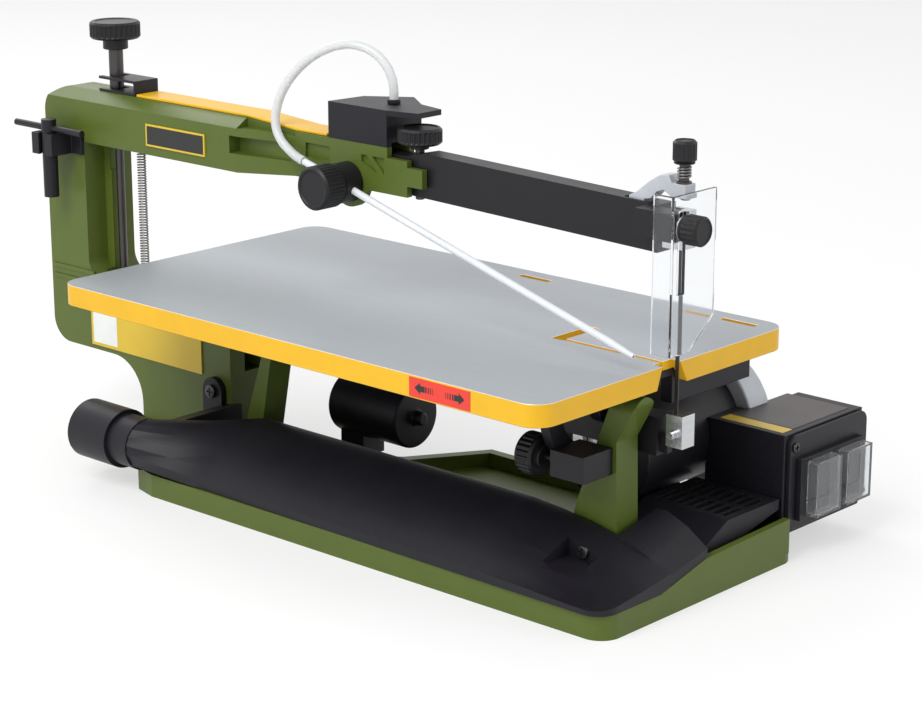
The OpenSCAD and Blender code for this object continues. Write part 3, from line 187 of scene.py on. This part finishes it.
PAPER = finish("white_panel", tone(226, 228, 226), 0.4, grain=0.05)
RED = finish("red_label", tone(218, 52, 36), 0.36, grain=0.05)
INK = finish("black_ink", tone(24, 26, 26), 0.4, grain=0.05)
BROWN = finish("dark_plate", tone(52, 40, 40), 0.4, grain=0.08)
print("finishes", len(bpy.data.materials))

# %% [markdown]
# ## Helpers
# Operators act on what is selected, so one piece at a time is made the only selected one, and faces or
# edges are picked by their place before an operator shapes them. A finished piece keeps its place in
# its mesh, with the object itself at the origin, as the frame's own pieces have it.

# %% Helpers
SMOOTH_ANGLE, FLAT_ANGLE, MERGE_GAP = 35, 0.5, 0.01


def only(piece):
    """Makes one piece the only selected and active one."""
    bpy.ops.object.select_all(action="DESELECT")
    piece.select_set(True)
    bpy.context.view_layer.objects.active = piece


def settle(piece):
    """Moves a piece's place, turn and size into its mesh."""
    only(piece)
    bpy.ops.object.transform_apply(location=True, rotation=True, scale=True)


def pick(piece, kind, test):
    """Opens a piece in edit mode with the vertices, edges or faces selected that pass the test."""
    only(piece)
    bpy.ops.object.mode_set(mode="EDIT")
    bpy.ops.mesh.select_mode(type=kind)
    bpy.ops.mesh.select_all(action="DESELECT")
    shape = bmesh.from_edit_mesh(piece.data)
    parts = {"VERT": shape.verts, "EDGE": shape.edges, "FACE": shape.faces}[kind]
    chosen = [part for part in parts if test(part)]
    for part in chosen:
        part.select_set(True)
    shape.select_flush_mode()
    bmesh.update_edit_mesh(piece.data)
    return len(chosen)


def close_edit():
    """Leaves edit mode."""
    bpy.ops.object.mode_set(mode="OBJECT")


def soften(piece, edge, segments=3, angle=32):
    """Rounds the sharp edges and shades the rest smooth, with broad faces kept level up to their edges."""
    only(piece)
    bevel = piece.modifiers.new("edges", "BEVEL")
    bevel.width = edge * MM
    bevel.segments = segments
    bevel.limit_method = "ANGLE"
    bevel.angle_limit = math.radians(angle)
    bevel.miter_outer = "MITER_ARC"
    bpy.ops.object.modifier_apply(modifier=bevel.name)
    bpy.ops.object.shade_smooth_by_angle(angle=math.radians(SMOOTH_ANGLE))
    level = piece.modifiers.new("level", "WEIGHTED_NORMAL")
    level.keep_sharp = True
    bpy.ops.object.modifier_apply(modifier=level.name)


def hand_over(piece, node):
    """Puts a finished piece in the place of the frame's node that it shows."""
    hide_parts(node)
    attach(piece, frame["nodes"][node]["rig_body"])


def coat(piece, material):
    """Gives a whole piece one finish."""
    piece.data.materials.clear()
    piece.data.materials.append(material)


def paint_faces(piece, material, test):
    """Gives the faces that pass the test another finish."""
    piece.data.materials.append(material)
    slot = len(piece.data.materials) - 1
    chosen = [face for face in piece.data.polygons if test(face)]
    for face in chosen:
        face.material_index = slot
    return len(chosen)


def copy_of(node, join_flat=True):
    """A clean, merged copy of a node's mesh, with flat triangles joined to whole faces where asked."""
    piece = bpy.data.objects.new(node + "_dressed", frame["nodes"][node].data.copy())
    bpy.context.scene.collection.objects.link(piece)
    only(piece)
    if piece.data.has_custom_normals:
        bpy.ops.mesh.customdata_custom_splitnormals_clear()
    bpy.ops.object.mode_set(mode="EDIT")
    bpy.ops.mesh.select_all(action="SELECT")
    bpy.ops.mesh.remove_doubles(threshold=MERGE_GAP * MM)
    if join_flat:
        bpy.ops.mesh.dissolve_limited(angle_limit=math.radians(FLAT_ANGLE))
    close_edit()
    return piece


def dress(node, material, edge, join_flat=True):
    """Rounds a copy of a node and gives it its finish."""
    piece = copy_of(node, join_flat)
    soften(piece, edge)
    coat(piece, material)
    hand_over(piece, node)
    return piece


def dress_all(pieces):
    """Dresses several nodes, each with its finish and its edge radius in millimetres."""
    for node, (material, edge) in pieces.items():
        made = dress(node, material, edge)
        print(made.name, len(made.data.polygons), "faces")


print("helpers ready")

# %% [markdown]
# ## Base and C-frame
# The green base and the C-shaped frame are sand castings with a powder coat: their long outer edges have
# a wide radius from the mould, and small pockets a tighter one. Rounding every edge alike would let
# the tightest pocket set the radius, so the long edges are picked by length and beveled first.

# %% Base and C-frame
LONG_EDGE, LONG_RADIUS, SHORT_RADIUS, SHARP_ANGLE = 60, 2.4, 0.9, 40


def cast(node):
    """A casting: long sharp edges get a wide radius, all others a small one."""
    piece = copy_of(node)

    def long_and_sharp(line):
        return (line.calc_length() > LONG_EDGE * MM and len(line.link_faces) == 2
                and line.calc_face_angle(0) > math.radians(SHARP_ANGLE) and line.is_convex)

    found = pick(piece, "EDGE", long_and_sharp)
    bpy.ops.mesh.bevel(offset=LONG_RADIUS * MM, segments=4, affect="EDGES", clamp_overlap=True)
    close_edit()
    soften(piece, SHORT_RADIUS)
    coat(piece, GREEN)
    hand_over(piece, node)
    print(piece.name, found, "long edges,", len(piece.data.polygons), "faces")


cast("base")
cast("c_frame")

# %% [markdown]
# ## Cover strip, pins, arms and tool key
# A yellow strip closes the frame's roof. The two black arms turn on steel pins inside the frame, a rod with
# a sheet-metal clip sets their tension, and a tool key waits in a clip at the rear. They are plain bars and
# bent sheet. They could be drawn again, but a small bevel on a copy of each node keeps their true form.

# %% Cover strip, pins, arms and tool key
dress_all({
    "frame_top_cover": (YELLOW, 0.5), "upper_pivot_pin": (STEEL, 0.3), "lower_pivot_pin": (STEEL, 0.3),
    "upper_arm": (SATIN, 1.0), "lower_arm": (SATIN, 1.0), "lever_pin": (STEEL, 0.2),
    "wrist_pin": (STEEL, 0.2), "tension_clip": (SATIN, 0.4), "tool_clip": (BLACK, 0.8),
    "tool_key": (SATIN, 0.6), "tension_rod": (DARK_STEEL, 0.3),
})

# %% [markdown]
# ## Two-tone table
# The table is one casting: yellow paint all round, and a top that was milled after painting. Milling
# leaves a thin line of bare metal where the paint ends; that line is painted lighter than the milled top,
# a painted highlight along the rim. The underside stays bare. One mesh with four finishes shows this best,
# picked by which way each face points.

# %% Two-tone table
TABLE_EDGE, TOP_BAND, EDGE_BAND = 0.5, 0.2, 0.6
LEVEL, SLOPED, DOWNWARD = 0.95, 0.55, -0.5
table_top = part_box("table")[1][2]


def milled(face):
    """Tells whether a face is on the milled top."""
    return face.normal.z > LEVEL and face.center.z > table_top - TOP_BAND * MM


def cut_through(face):
    """Tells whether a face is on the edge where the mill cut through the paint."""
    return SLOPED < face.normal.z <= LEVEL and face.center.z > table_top - EDGE_BAND * MM


table = copy_of("table")
soften(table, TABLE_EDGE)
coat(table, YELLOW)
top_faces = paint_faces(table, TOP, milled)
# The cut-through rim gets the lighter finish: a painted highlight along the top's edge.
highlight_edge_faces = paint_faces(table, BARE_EDGE_HIGHLIGHT, cut_through)
low_faces = paint_faces(table, UNDERSIDE, lambda face: face.normal.z < DOWNWARD)
hand_over(table, "table")
print("milled faces", top_faces, "bright edge faces", highlight_edge_faces, "bare faces below", low_faces)

# %% [markdown]
# ## Blade, clamps and lever
# The blade is a thin steel strip between two clamps. A pale cast lever lets its tension go. All of these
# keep the frame's form, with the edges of cut and cast metal.

# %% Blade, clamps and lever
dress_all({
    "blade": (DARK_STEEL, 0.05), "upper_clamp": (STEEL, 0.4), "lower_clamp": (STEEL, 0.4),
    "blade_lever": (CAST, 1.0), "lever_washer": (DARK_STEEL, 0.15), "guard_washer": (STEEL, 0.2),
})

# %% [markdown]
# ## Clear guard and switch covers
# The guard is bent from clear acrylic, and soft clear covers keep dust off the switches. Clear pieces
# are seen by their edges, so the bevel is as important here as the material.

# %% Clear guard and switch covers
dress_all({"guard": (CLEAR, 0.35), "switch_covers": (MILKY, 0.3)})

# %% [markdown]
# ## Trunnions, motor and drive
# Under the table are the trunnions that it tilts on, the motor with its pale end bell, the crank, the
# connecting rod and the capacitor. They sit in the dark, so their own edges catch what light there is.

# %% Trunnions, motor and drive
dress_all({
    "front_trunnion": (BLACK, 0.6), "rear_trunnion": (BLACK, 0.6), "table_pivot_bolts": (STEEL, 0.5),
    "lock_bracket": (SATIN, 0.6), "motor_housing": (SATIN, 1.0), "motor_end_bell": (CAST, 1.5),
    "motor_bracket": (SATIN, 0.6), "crank": (STEEL, 0.4), "connecting_rod": (STEEL, 0.4),
    "capacitor": (BLACK, 1.5), "capacitor_bracket": (SATIN, 0.6),
})

# %% [markdown]
# ## Dust housing and grille
# The housing is one black moulding that swells from the round outlet to the broad nose under the table's
# front. It is a moulded skin, so its edges are soft and its long faces shade smoothly. Its flat triangles
# are kept, because joining them would close the opening under the grille. The same goes for the grille.

# %% Dust housing and grille
UPWARD = 0.9
housing = dress("dust_housing", BLACK, 0.8, join_flat=False)
print(housing.name, len(housing.data.polygons), "faces")
grille = dress("dust_grille", KNOB, 0.4, join_flat=False)
bar_area = sum(face.area for face in grille.data.polygons if face.normal.z > UPWARD) / MM ** 2
print(grille.name, "bars cover", round(bar_area), "square mm")

# %% [markdown]
# ## Switch box
# A black box with a moulded front plate and a bezel for two rockers. Stacked plates show by the light line
# at each step, so every plate gets its own edge radius. One radius for all would make them look fused.

# %% Switch box
dress_all({
    "switch_box": (BLACK, 1.4), "switch_plate": (SATIN, 0.8), "switch_bezel": (BLACK, 0.9),
    "power_rocker": (KNOB, 0.5), "speed_rocker": (KNOB, 0.5),
})

# %% [markdown]
# ## Bellows box, hub and hose barb
# The air pump's black box has a lip over the knob, and the hub clamps the nozzle's pipe. Both are mouldings.
# A subdivided cage could round them more, but it would also round the seat of the pipe, so they get a bevel.

# %% Bellows box, hub and hose barb
dress_all({"bellows_box": (BLACK, 0.9), "nozzle_hub": (KNOB, 0.8), "hose_barb": (BLACK, 0.5)})

# %% [markdown]
# ## Screws with a cross recess
# Pan-head screws hold the housing and the switch plate. The recess is cut with two crossed bars by a
# boolean, which gives the sharp corners of a punched cross. Each screw of a node is cut by itself.

# %% Screws with a cross recess
RECESS_WIDTH, RECESS_DEPTH, RECESS_SHARE, HEAD_DEPTH = 0.9, 0.9, 1.25, 1.0


def cut_bar(piece, centre, size):
    """Takes one bar out of a piece."""
    bpy.ops.object.select_all(action="DESELECT")
    bpy.ops.mesh.primitive_cube_add(size=1, location=centre)
    bar = bpy.context.object
    bar.scale = size
    settle(bar)
    cut = piece.modifiers.new("recess", "BOOLEAN")
    cut.operation = "DIFFERENCE"
    cut.object = bar
    only(piece)
    bpy.ops.object.modifier_apply(modifier=cut.name)
    bpy.data.objects.remove(bar)


def recessed_screws(node, axis, material, edge):
    """Cuts a cross into the low end of each screw along one axis."""
    group = copy_of(node)
    soften(group, edge)
    only(group)
    bpy.ops.mesh.separate(type="LOOSE")
    screws = [piece for piece in bpy.context.scene.objects if piece.name.startswith(node + "_dressed")]
    across = [k for k in range(3) if k != axis]
    for screw in screws:
        corners = [v.co for v in screw.data.vertices]
        face = min(v[axis] for v in corners)
        head = [v for v in corners if v[axis] < face + HEAD_DEPTH * MM]
        centre = [(min(v[k] for v in head) + max(v[k] for v in head)) / 2 for k in range(3)]
        span = RECESS_SHARE * (max(v[across[0]] for v in head) - centre[across[0]])
        centre[axis] = face
        for k in across:
            size = [RECESS_WIDTH * MM] * 3
            size[axis] = 2 * RECESS_DEPTH * MM
            size[k] = span
            cut_bar(screw, centre, size)
    only(screws[0])
    for screw in screws:
        screw.select_set(True)
    if len(screws) > 1:
        bpy.ops.object.join()
    coat(screws[0], material)
    hand_over(screws[0], node)
    print(node, len(screws), "screws")


recessed_screws("housing_screws", 0, DARK_STEEL, 0.35)
recessed_screws("plate_screws", 1, DARK_STEEL, 0.25)

# %% [markdown]
# ## Fluted knobs
# Six black knobs are moulded with flutes for the fingers. A knob is turned like a pot: a disc is extruded
# ring by ring and scaled at each ring. Then every other pair of side columns is drawn in towards the
# axis between the two rims, which leaves the flutes. A boolean for each flute would be slower.

# %% Fluted knobs
FLUTE_SIDES, STEM_SIDES = 4, 32
RIM, CHAMFER, FOOT_CHAMFER, DISH, KNOB_EDGE = 0.9, 1.2, 0.3, 0.6, 0.18
DISH_SHARES = (0.8, 0.76, 0.1)
BAND_SLACK, SKIN_SHARE = 0.05, 0.9
UP, LEFT, FRONT, REAR = (0, 0, 1), (-1, 0, 0), (0, -1, 0), (0, 1, 0)


def turned(name, rings, sides):
    """A solid about Z, extruded ring by ring; each ring is a radius and a height in millimetres."""
    bpy.ops.object.select_all(action="DESELECT")
    radius, height = rings[0]
    bpy.ops.mesh.primitive_circle_add(vertices=sides, radius=radius * MM, fill_type="NGON",
                                      location=(0, 0, height * MM))
    piece = bpy.context.object
    piece.name = name
    bpy.ops.object.mode_set(mode="EDIT")
    bpy.ops.mesh.select_mode(type="FACE")
    bpy.ops.mesh.select_all(action="SELECT")
    for (old_r, old_z), (new_r, new_z) in zip(rings, rings[1:]):
        bpy.ops.mesh.extrude_region_move(TRANSFORM_OT_translate={"value": (0, 0, (new_z - old_z) * MM)})
        share = new_r / old_r
        bpy.ops.transform.resize(value=(share, share, 1), center_override=(0, 0, new_z * MM))
    bpy.ops.mesh.select_all(action="SELECT")
    bpy.ops.mesh.normals_make_consistent(inside=False)
    close_edit()
    settle(piece)
    return piece


def knob_rings(radius, height, collar_radius, collar_height):
    """A collar, a rim, the fluted band, a second rim and a dished end."""
    low, high = collar_height + CHAMFER, height - CHAMFER
    lip, wall, eye = [share * radius for share in DISH_SHARES]
    foot = [(collar_radius - FOOT_CHAMFER, 0), (collar_radius, FOOT_CHAMFER), (collar_radius, collar_height)]
    side = [(radius - CHAMFER, collar_height), (radius, low), (radius, low + RIM), (radius, high - RIM),
            (radius, high), (radius - CHAMFER, height)]
    return foot + side + [(lip, height), (wall, height - DISH), (eye, height - DISH)]


def fluted_knob(node, foot, way, radius, height, flutes, depth_share, collar, stem=None):
    """A fluted knob on its stem, turned about Z and then laid along its own axis."""
    rings = knob_rings(radius, height, *collar)
    knob = turned(node + "_fluted", rings, flutes * FLUTE_SIDES)
    step = 2 * math.pi / (flutes * FLUTE_SIDES)
    band = (rings[5][1], rings[6][1])

    def in_groove(spot):
        column = round(math.atan2(spot.co.y, spot.co.x) / step) % FLUTE_SIDES
        level = band[0] - BAND_SLACK < spot.co.z / MM < band[1] + BAND_SLACK
        return level and column >= FLUTE_SIDES / 2 and spot.co.xy.length > SKIN_SHARE * radius * MM

    moved = pick(knob, "VERT", in_groove)
    bpy.ops.transform.resize(value=(depth_share, depth_share, 1), center_override=(0, 0, 0))
    close_edit()
    soften(knob, KNOB_EDGE, segments=2, angle=25)
    coat(knob, KNOB)
    if stem:
        stem_radius, stem_from, stem_to = stem
        stem_rings = [(stem_radius - FOOT_CHAMFER, stem_from), (stem_radius, stem_from + FOOT_CHAMFER),
                      (stem_radius, stem_to)]
        shaft = turned(node + "_stem", stem_rings, STEM_SIDES)
        coat(shaft, DARK_STEEL)
        only(knob)
        shaft.select_set(True)
        bpy.ops.object.join()
    knob.rotation_euler = Vector(way).to_track_quat("Z", "Y").to_euler()
    knob.location = [v * MM for v in foot]
    settle(knob)
    hand_over(knob, node)
    print(knob.name, flutes, "flutes,", moved, "groove vertices")


fluted_knob("tension_knob", foot=(0, 419, 231.8), way=UP, radius=15, height=16.5, flutes=30,
            depth_share=0.955, collar=(7.4, 6.3))
fluted_knob("air_knob", foot=(0, 170.4, 204), way=UP, radius=12, height=11.6, flutes=28,
            depth_share=0.94, collar=(5, 2.6), stem=(2.5, -27.3, 0.5))
fluted_knob("nozzle_knob", foot=(-22.9, 213.5, 182), way=LEFT, radius=12, height=15.6, flutes=36,
            depth_share=0.97, collar=(11.4, 0.8), stem=(2.5, -3.1, 0.5))
fluted_knob("guard_knob", foot=(-11.5, -15.3, 191), way=FRONT, radius=7.5, height=11.7, flutes=18,
            depth_share=0.94, collar=(6.6, 1.4), stem=(2, -21.3, 0.5))
fluted_knob("blade_knob", foot=(0, -5.4, 219.7), way=UP, radius=6, height=11.6, flutes=16,
            depth_share=0.93, collar=(5.2, 0.8), stem=(2.5, -17.7, 0.5))
fluted_knob("tilt_lock_knob", foot=(-43.5, 42.6, 71), way=REAR, radius=11, height=13.4, flutes=24,
            depth_share=0.94, collar=(7, 2.4), stem=(2, -18.6, 0.5))

# %% [markdown]
# ## Nozzle pipe
# A slim white pipe blows dust off the cutting line. It tapers at its tip, which is open. Turning it about
# its own axis and laying it through the hub keeps it round at any angle.

# %% Nozzle pipe
HUB, TIP = Vector((-17, 213.5, 182)), Vector((-24, 4.5, 126))
TAIL, PIPE_RADIUS, TIP_RADIUS, TAPER = 30, 2.0, 1.3, 14
BORE_DEPTH, BORE_SHARE, MOUTH_SHARE, MOUTH_DEPTH, TAIL_CHAMFER = 6, 0.6, 0.62, 0.05, 0.3
reach = (HUB - TIP).length
pipe = turned("nozzle_pipe_white", [
    (BORE_SHARE * TIP_RADIUS, BORE_DEPTH), (MOUTH_SHARE * TIP_RADIUS, MOUTH_DEPTH), (TIP_RADIUS, 0),
    (PIPE_RADIUS, TAPER), (PIPE_RADIUS, reach + TAIL - TAIL_CHAMFER),
    (PIPE_RADIUS - TAIL_CHAMFER, reach + TAIL)], STEM_SIDES)
soften(pipe, 0.1, segments=2)
coat(pipe, PIPE)
pipe.rotation_euler = (HUB - TIP).to_track_quat("Z", "Y").to_euler()
pipe.location = TIP * MM
settle(pipe)
hand_over(pipe, "nozzle_pipe")
print("nozzle pipe", round(reach + TAIL, 1), "mm long")

# %% [markdown]
# ## Springs
# The long spring returns the tail of the arms, and the small one holds the lever's knob up. A spring is a
# wire on a helix with a short straight lead at each end, so a curve with a round bevel is wound by a
# formula and then made a mesh.

# %% Springs
COIL_STEPS = 20


def wound(name, node, centre, radius, wire, coil, ends, turns):
    """A round wire wound between two heights, with straight leads up and down to its ends."""
    x, y = centre
    points = [(x + radius, y, ends[0])]
    for i in range(turns * COIL_STEPS + 1):
        turn = 2 * math.pi * i / COIL_STEPS
        points.append((x + radius * math.cos(turn), y + radius * math.sin(turn),
                       coil[0] + (coil[1] - coil[0]) * i / (turns * COIL_STEPS)))
    points.append((x + radius, y, ends[1]))
    line = bpy.data.curves.new(name, "CURVE")
    line.dimensions = "3D"
    line.bevel_depth = wire * MM
    line.bevel_resolution = 2
    line.use_fill_caps = True
    run = line.splines.new("POLY")
    run.points.add(len(points) - 1)
    for spot, place in zip(run.points, points):
        spot.co = [v * MM for v in place] + [1]
    piece = bpy.data.objects.new(name, line)
    bpy.context.scene.collection.objects.link(piece)
    only(piece)
    bpy.ops.object.convert(target="MESH")
    piece = bpy.context.object
    bpy.ops.object.shade_smooth()
    coat(piece, SPRING_STEEL)
    hand_over(piece, node)
    print(name, turns, "turns,", len(piece.data.polygons), "faces")


wound("return_spring_wire", "return_spring", (0, 399), 2.35, 0.45, (93.4, 179.6), (91.3, 181.7), 54)
wound("lever_spring_wire", "lever_spring", (0, -5.4), 3.2, 0.45, (212.4, 218.2), (211.1, 219.6), 4)

# %% [markdown]
# ## Air hose
# A soft milky hose stands up from the bellows, bends over in a loop and drops onto the pipe's tail. It
# follows the route chosen for the frame, on one smooth curve with a round section. The curve is then made
# a mesh. On the saw its lower end bends along when the nozzle swings while its upper end stays put; this
# mesh stays still.

# %% Air hose
HOSE_START = Vector((7.4, 196.6, 226.5))
HOSE_ROUTE = [(0, 0, 0), (0, 0, 5.5), (-0.2, 1.4, 11.5), (-1, 5.4, 18.5), (-2.6, 12.4, 24.1),
              (-5, 21.4, 27.1), (-7.8, 31.4, 26.9), (-10.6, 41.4, 23.5), (-13.4, 51.4, 17.5),
              (-16, 60.4, 9.1), (-18.2, 67, -0.5), (-20, 70.4, -10.5), (-21.6, 70, -19.5),
              (-22.8, 65.4, -26.5), (-23.1, 59.2, -31.3)]
HOSE_RADIUS, HOSE_GAP, HOSE_STEPS = 2.5, 0.3, 8
along_pipe = (HUB - TIP).normalized()
hose_end = HUB + (TAIL + HOSE_GAP) * along_pipe
route = [HOSE_START + Vector(step) for step in HOSE_ROUTE]
route += [hose_end + 2 * HOSE_RADIUS * along_pipe, hose_end]
line = bpy.data.curves.new("air_hose_line", "CURVE")
line.dimensions = "3D"
line.bevel_depth = HOSE_RADIUS * MM
line.bevel_resolution = 8
line.use_fill_caps = True
run = line.splines.new("BEZIER")
run.resolution_u = HOSE_STEPS
run.bezier_points.add(len(route) - 1)
for spot, place in zip(run.bezier_points, route):
    spot.co = place * MM
    spot.handle_left_type = spot.handle_right_type = "AUTO"
hose = bpy.data.objects.new("air_hose_tube", line)
bpy.context.scene.collection.objects.link(hose)
bpy.context.view_layer.update()
spots = run.bezier_points
middle_line = [route[0] * MM]
for a, b in zip(spots[:-1], spots[1:]):
    middle_line += interpolate_bezier(a.co, a.handle_right, b.handle_left, b.co, HOSE_STEPS + 1)[1:]
only(hose)
bpy.ops.object.convert(target="MESH")
hose = bpy.context.object
bpy.ops.object.shade_smooth_by_angle(angle=math.radians(50))
coat(hose, HOSE)
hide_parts("air_hose")
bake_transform(hose)

# %% [markdown]
# ## Badge, label and plates
# Thin printed foils sit on the frame's side, the table's rim and the switch box. They stay bare of words.
# Each starts as a box, its outer face is inset for a border, and the edges are broken so that they
# catch the light as a thin foil does.

# %% Badge, label and plates
FOIL_SLOT, FOIL_EDGE, FACING = SLOT["frame_label"], 0.08, 0.9


def foil(name, low, high, face_way, border, material, body=None, node=None, field=None):
    """A thin plate with a border; its inner field may have another finish."""
    bpy.ops.object.select_all(action="DESELECT")
    middle = [(a + b) / 2 * MM for a, b in zip(low, high)]
    bpy.ops.mesh.primitive_cube_add(size=1, location=middle)
    piece = bpy.context.object
    piece.name = name
    piece.scale = [(b - a) * MM for a, b in zip(low, high)]
    settle(piece)
    facing = Vector(face_way)
    pick(piece, "FACE", lambda face: face.normal.dot(facing) > FACING)
    bpy.ops.mesh.inset(thickness=border * MM, depth=0)
    shape = bmesh.from_edit_mesh(piece.data)
    inner = [face.index for face in shape.faces if face.select]
    close_edit()
    coat(piece, material)
    if field:
        paint_faces(piece, field, lambda face: face.index in inner)
    soften(piece, FOIL_EDGE, segments=2)
    if node:
        hand_over(piece, node)
    else:
        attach(piece, body)
    print(name, "border", border, "mm")


foil("arm_badge_plate", (-18.9, 321, 182), (-18, 372, 195), LEFT, 1.1, FOIL, node="arm_badge", field=INK)
foil("frame_label_plate", (-18.9, 329, 52), (-18, 429, 87), LEFT, 0.8, FOIL, node="frame_label")
foil("frame_label_panel", (-19.0, 405, 54), (-18.8, 427, 85), LEFT, 0.6, PAPER, body="base_frame")
foil("box_rating_plate", (84.5, -16, 67.95), (136, 24, 68.2), UP, 0.6, BROWN, body="base_frame")
foil("box_yellow_strip", (75.5, -16, 67.95), (84, 24, 68.2), UP, 0.4, FOIL, body="base_frame")
foil("tilt_label", (-100.2, 43, 107), (-99.95, 83.5, 117), LEFT, 0.5, RED, body="table")

# %% [markdown]
# ## Arrows on the tilt label
# Two plain arrows with hatched tails point along the table's edge. An arrow is a short bar whose end face
# is widened and then drawn to a point by two extrusions, with thin bars behind it.

# %% Arrows on the tilt label
ARROW_FACE, ARROW_DEPTH, ARROW_Z = -100.22, 0.12, 112.0
SHAFT_LENGTH, SHAFT_HALF, HEAD_LENGTH, HEAD_HALF, POINT_SHARE = 3.0, 1.5, 3.6, 2.9, 0.04
HATCH = [(0.9, 0.9), (2.6, 0.7), (4.1, 0.5), (5.5, 0.3)]


def bar_at(y, length):
    """A flat bar across the arrow's line."""
    bpy.ops.mesh.primitive_cube_add(size=1, location=(ARROW_FACE * MM, y * MM, ARROW_Z * MM))
    bar = bpy.context.object
    bar.scale = (ARROW_DEPTH * MM, length * MM, 2 * SHAFT_HALF * MM)
    settle(bar)
    return bar


def arrow(name, neck, way):
    """An arrow whose head starts at neck and points along way, with its tail hatched."""
    bpy.ops.object.select_all(action="DESELECT")
    piece = bar_at(neck - way * SHAFT_LENGTH / 2, SHAFT_LENGTH)
    piece.name = name
    pick(piece, "FACE", lambda face: face.normal.y * way > FACING)
    centre = (ARROW_FACE * MM, neck * MM, ARROW_Z * MM)
    bpy.ops.mesh.extrude_region_move(TRANSFORM_OT_translate={"value": (0, 0, 0)})
    bpy.ops.transform.resize(value=(1, 1, HEAD_HALF / SHAFT_HALF), center_override=centre)
    bpy.ops.mesh.extrude_region_move(TRANSFORM_OT_translate={"value": (0, way * HEAD_LENGTH * MM, 0)})
    bpy.ops.transform.resize(value=(1, 1, POINT_SHARE), center_override=centre)
    close_edit()
    bars = [bar_at(neck - way * (SHAFT_LENGTH + back), length) for back, length in HATCH]
    only(piece)
    for bar in bars:
        bar.select_set(True)
    bpy.ops.object.join()
    coat(piece, INK)
    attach(piece, "table")
    print(name, len(piece.data.polygons), "faces")


arrow("tilt_arrow_rear", 76, 1)
arrow("tilt_arrow_front", 50.5, -1)

# %% [markdown]
# ## Floor and light
# The saw stands on a seamless white floor under soft light: a broad lamp at the upper left, a weaker one
# at the front right and one behind. The camera, reflections and clear pieces see plain white, while
# the light that falls on the saw stays at a plain level, so colours come out as they were written.

# %% Floor and light
def seen_directly(tree):
    """One where the ray comes from the camera, a reflection or a clear piece, and nought elsewhere."""
    ray = tree.nodes.new("ShaderNodeLightPath")
    first = tree.nodes.new("ShaderNodeMath")
    first.operation = "MAXIMUM"
    tree.links.new(ray.outputs["Is Camera Ray"], first.inputs[0])
    tree.links.new(ray.outputs["Is Glossy Ray"], first.inputs[1])
    second = tree.nodes.new("ShaderNodeMath")
    second.operation = "MAXIMUM"
    tree.links.new(first.outputs[0], second.inputs[0])
    tree.links.new(ray.outputs["Is Transmission Ray"], second.inputs[1])
    return second.outputs[0]


def mix_by(tree, share, plain, seen, end):
    """Shows the plain shader at the end node, or the seen one, by a share."""
    blend = tree.nodes.new("ShaderNodeMixShader")
    tree.links.new(share, blend.inputs["Fac"])
    tree.links.new(plain.outputs[0], blend.inputs[1])
    tree.links.new(seen.outputs[0], blend.inputs[2])
    tree.links.new(blend.outputs[0], tree.nodes[end].inputs["Surface"])


FLOOR_SIZE, FLOOR_GLOW = 12, 0.55
LIGHT_AIM = Vector((0, 0.2, 0.1))
bpy.ops.object.select_all(action="DESELECT")
bpy.ops.mesh.primitive_plane_add(size=FLOOR_SIZE, location=(0, 0, 0))
floor = bpy.context.object
floor.name = "floor"
pale = finish("pale_floor", (0.9, 0.9, 0.9, 1), 0.85, mottle=0.005)
tree = pale.node_tree
glow = tree.nodes.new("ShaderNodeEmission")
glow.inputs["Strength"].default_value = 1.0
share = tree.nodes.new("ShaderNodeMath")
share.operation = "MULTIPLY"
share.inputs[1].default_value = FLOOR_GLOW
tree.links.new(seen_directly(tree), share.inputs[0])
mix_by(tree, share.outputs[0], tree.nodes["Principled BSDF"], glow, "Material Output")
floor.data.materials.append(pale)


def soft_light(name, place, size, watts):
    """A square lamp that faces the middle of the saw."""
    bpy.ops.object.light_add(type="AREA", location=place)
    lamp = bpy.context.object
    lamp.name = name
    lamp.data.size = size
    lamp.data.energy = watts
    lamp.rotation_euler = (LIGHT_AIM - Vector(place)).to_track_quat("-Z", "Y").to_euler()


soft_light("key_light", (-1.3, 0.1, 1.5), 1.2, 26)
soft_light("fill_light", (0.9, -1.4, 1.0), 1.4, 6)
soft_light("back_light", (0.6, 1.8, 1.5), 1.2, 12)

WORLD_LIGHT = 0.62
world = bpy.data.worlds.new("studio")
bpy.context.scene.world = world
world.use_nodes = True
tree = world.node_tree
white = tree.nodes["Background"]
white.inputs["Color"].default_value = (1, 1, 1, 1)
white.inputs["Strength"].default_value = 1.0
soft = tree.nodes.new("ShaderNodeBackground")
soft.inputs["Color"].default_value = (1, 1, 1, 1)
soft.inputs["Strength"].default_value = WORLD_LIGHT
mix_by(tree, seen_directly(tree), soft, white, "World Output")
bpy.context.scene.view_settings.view_transform = "Standard"
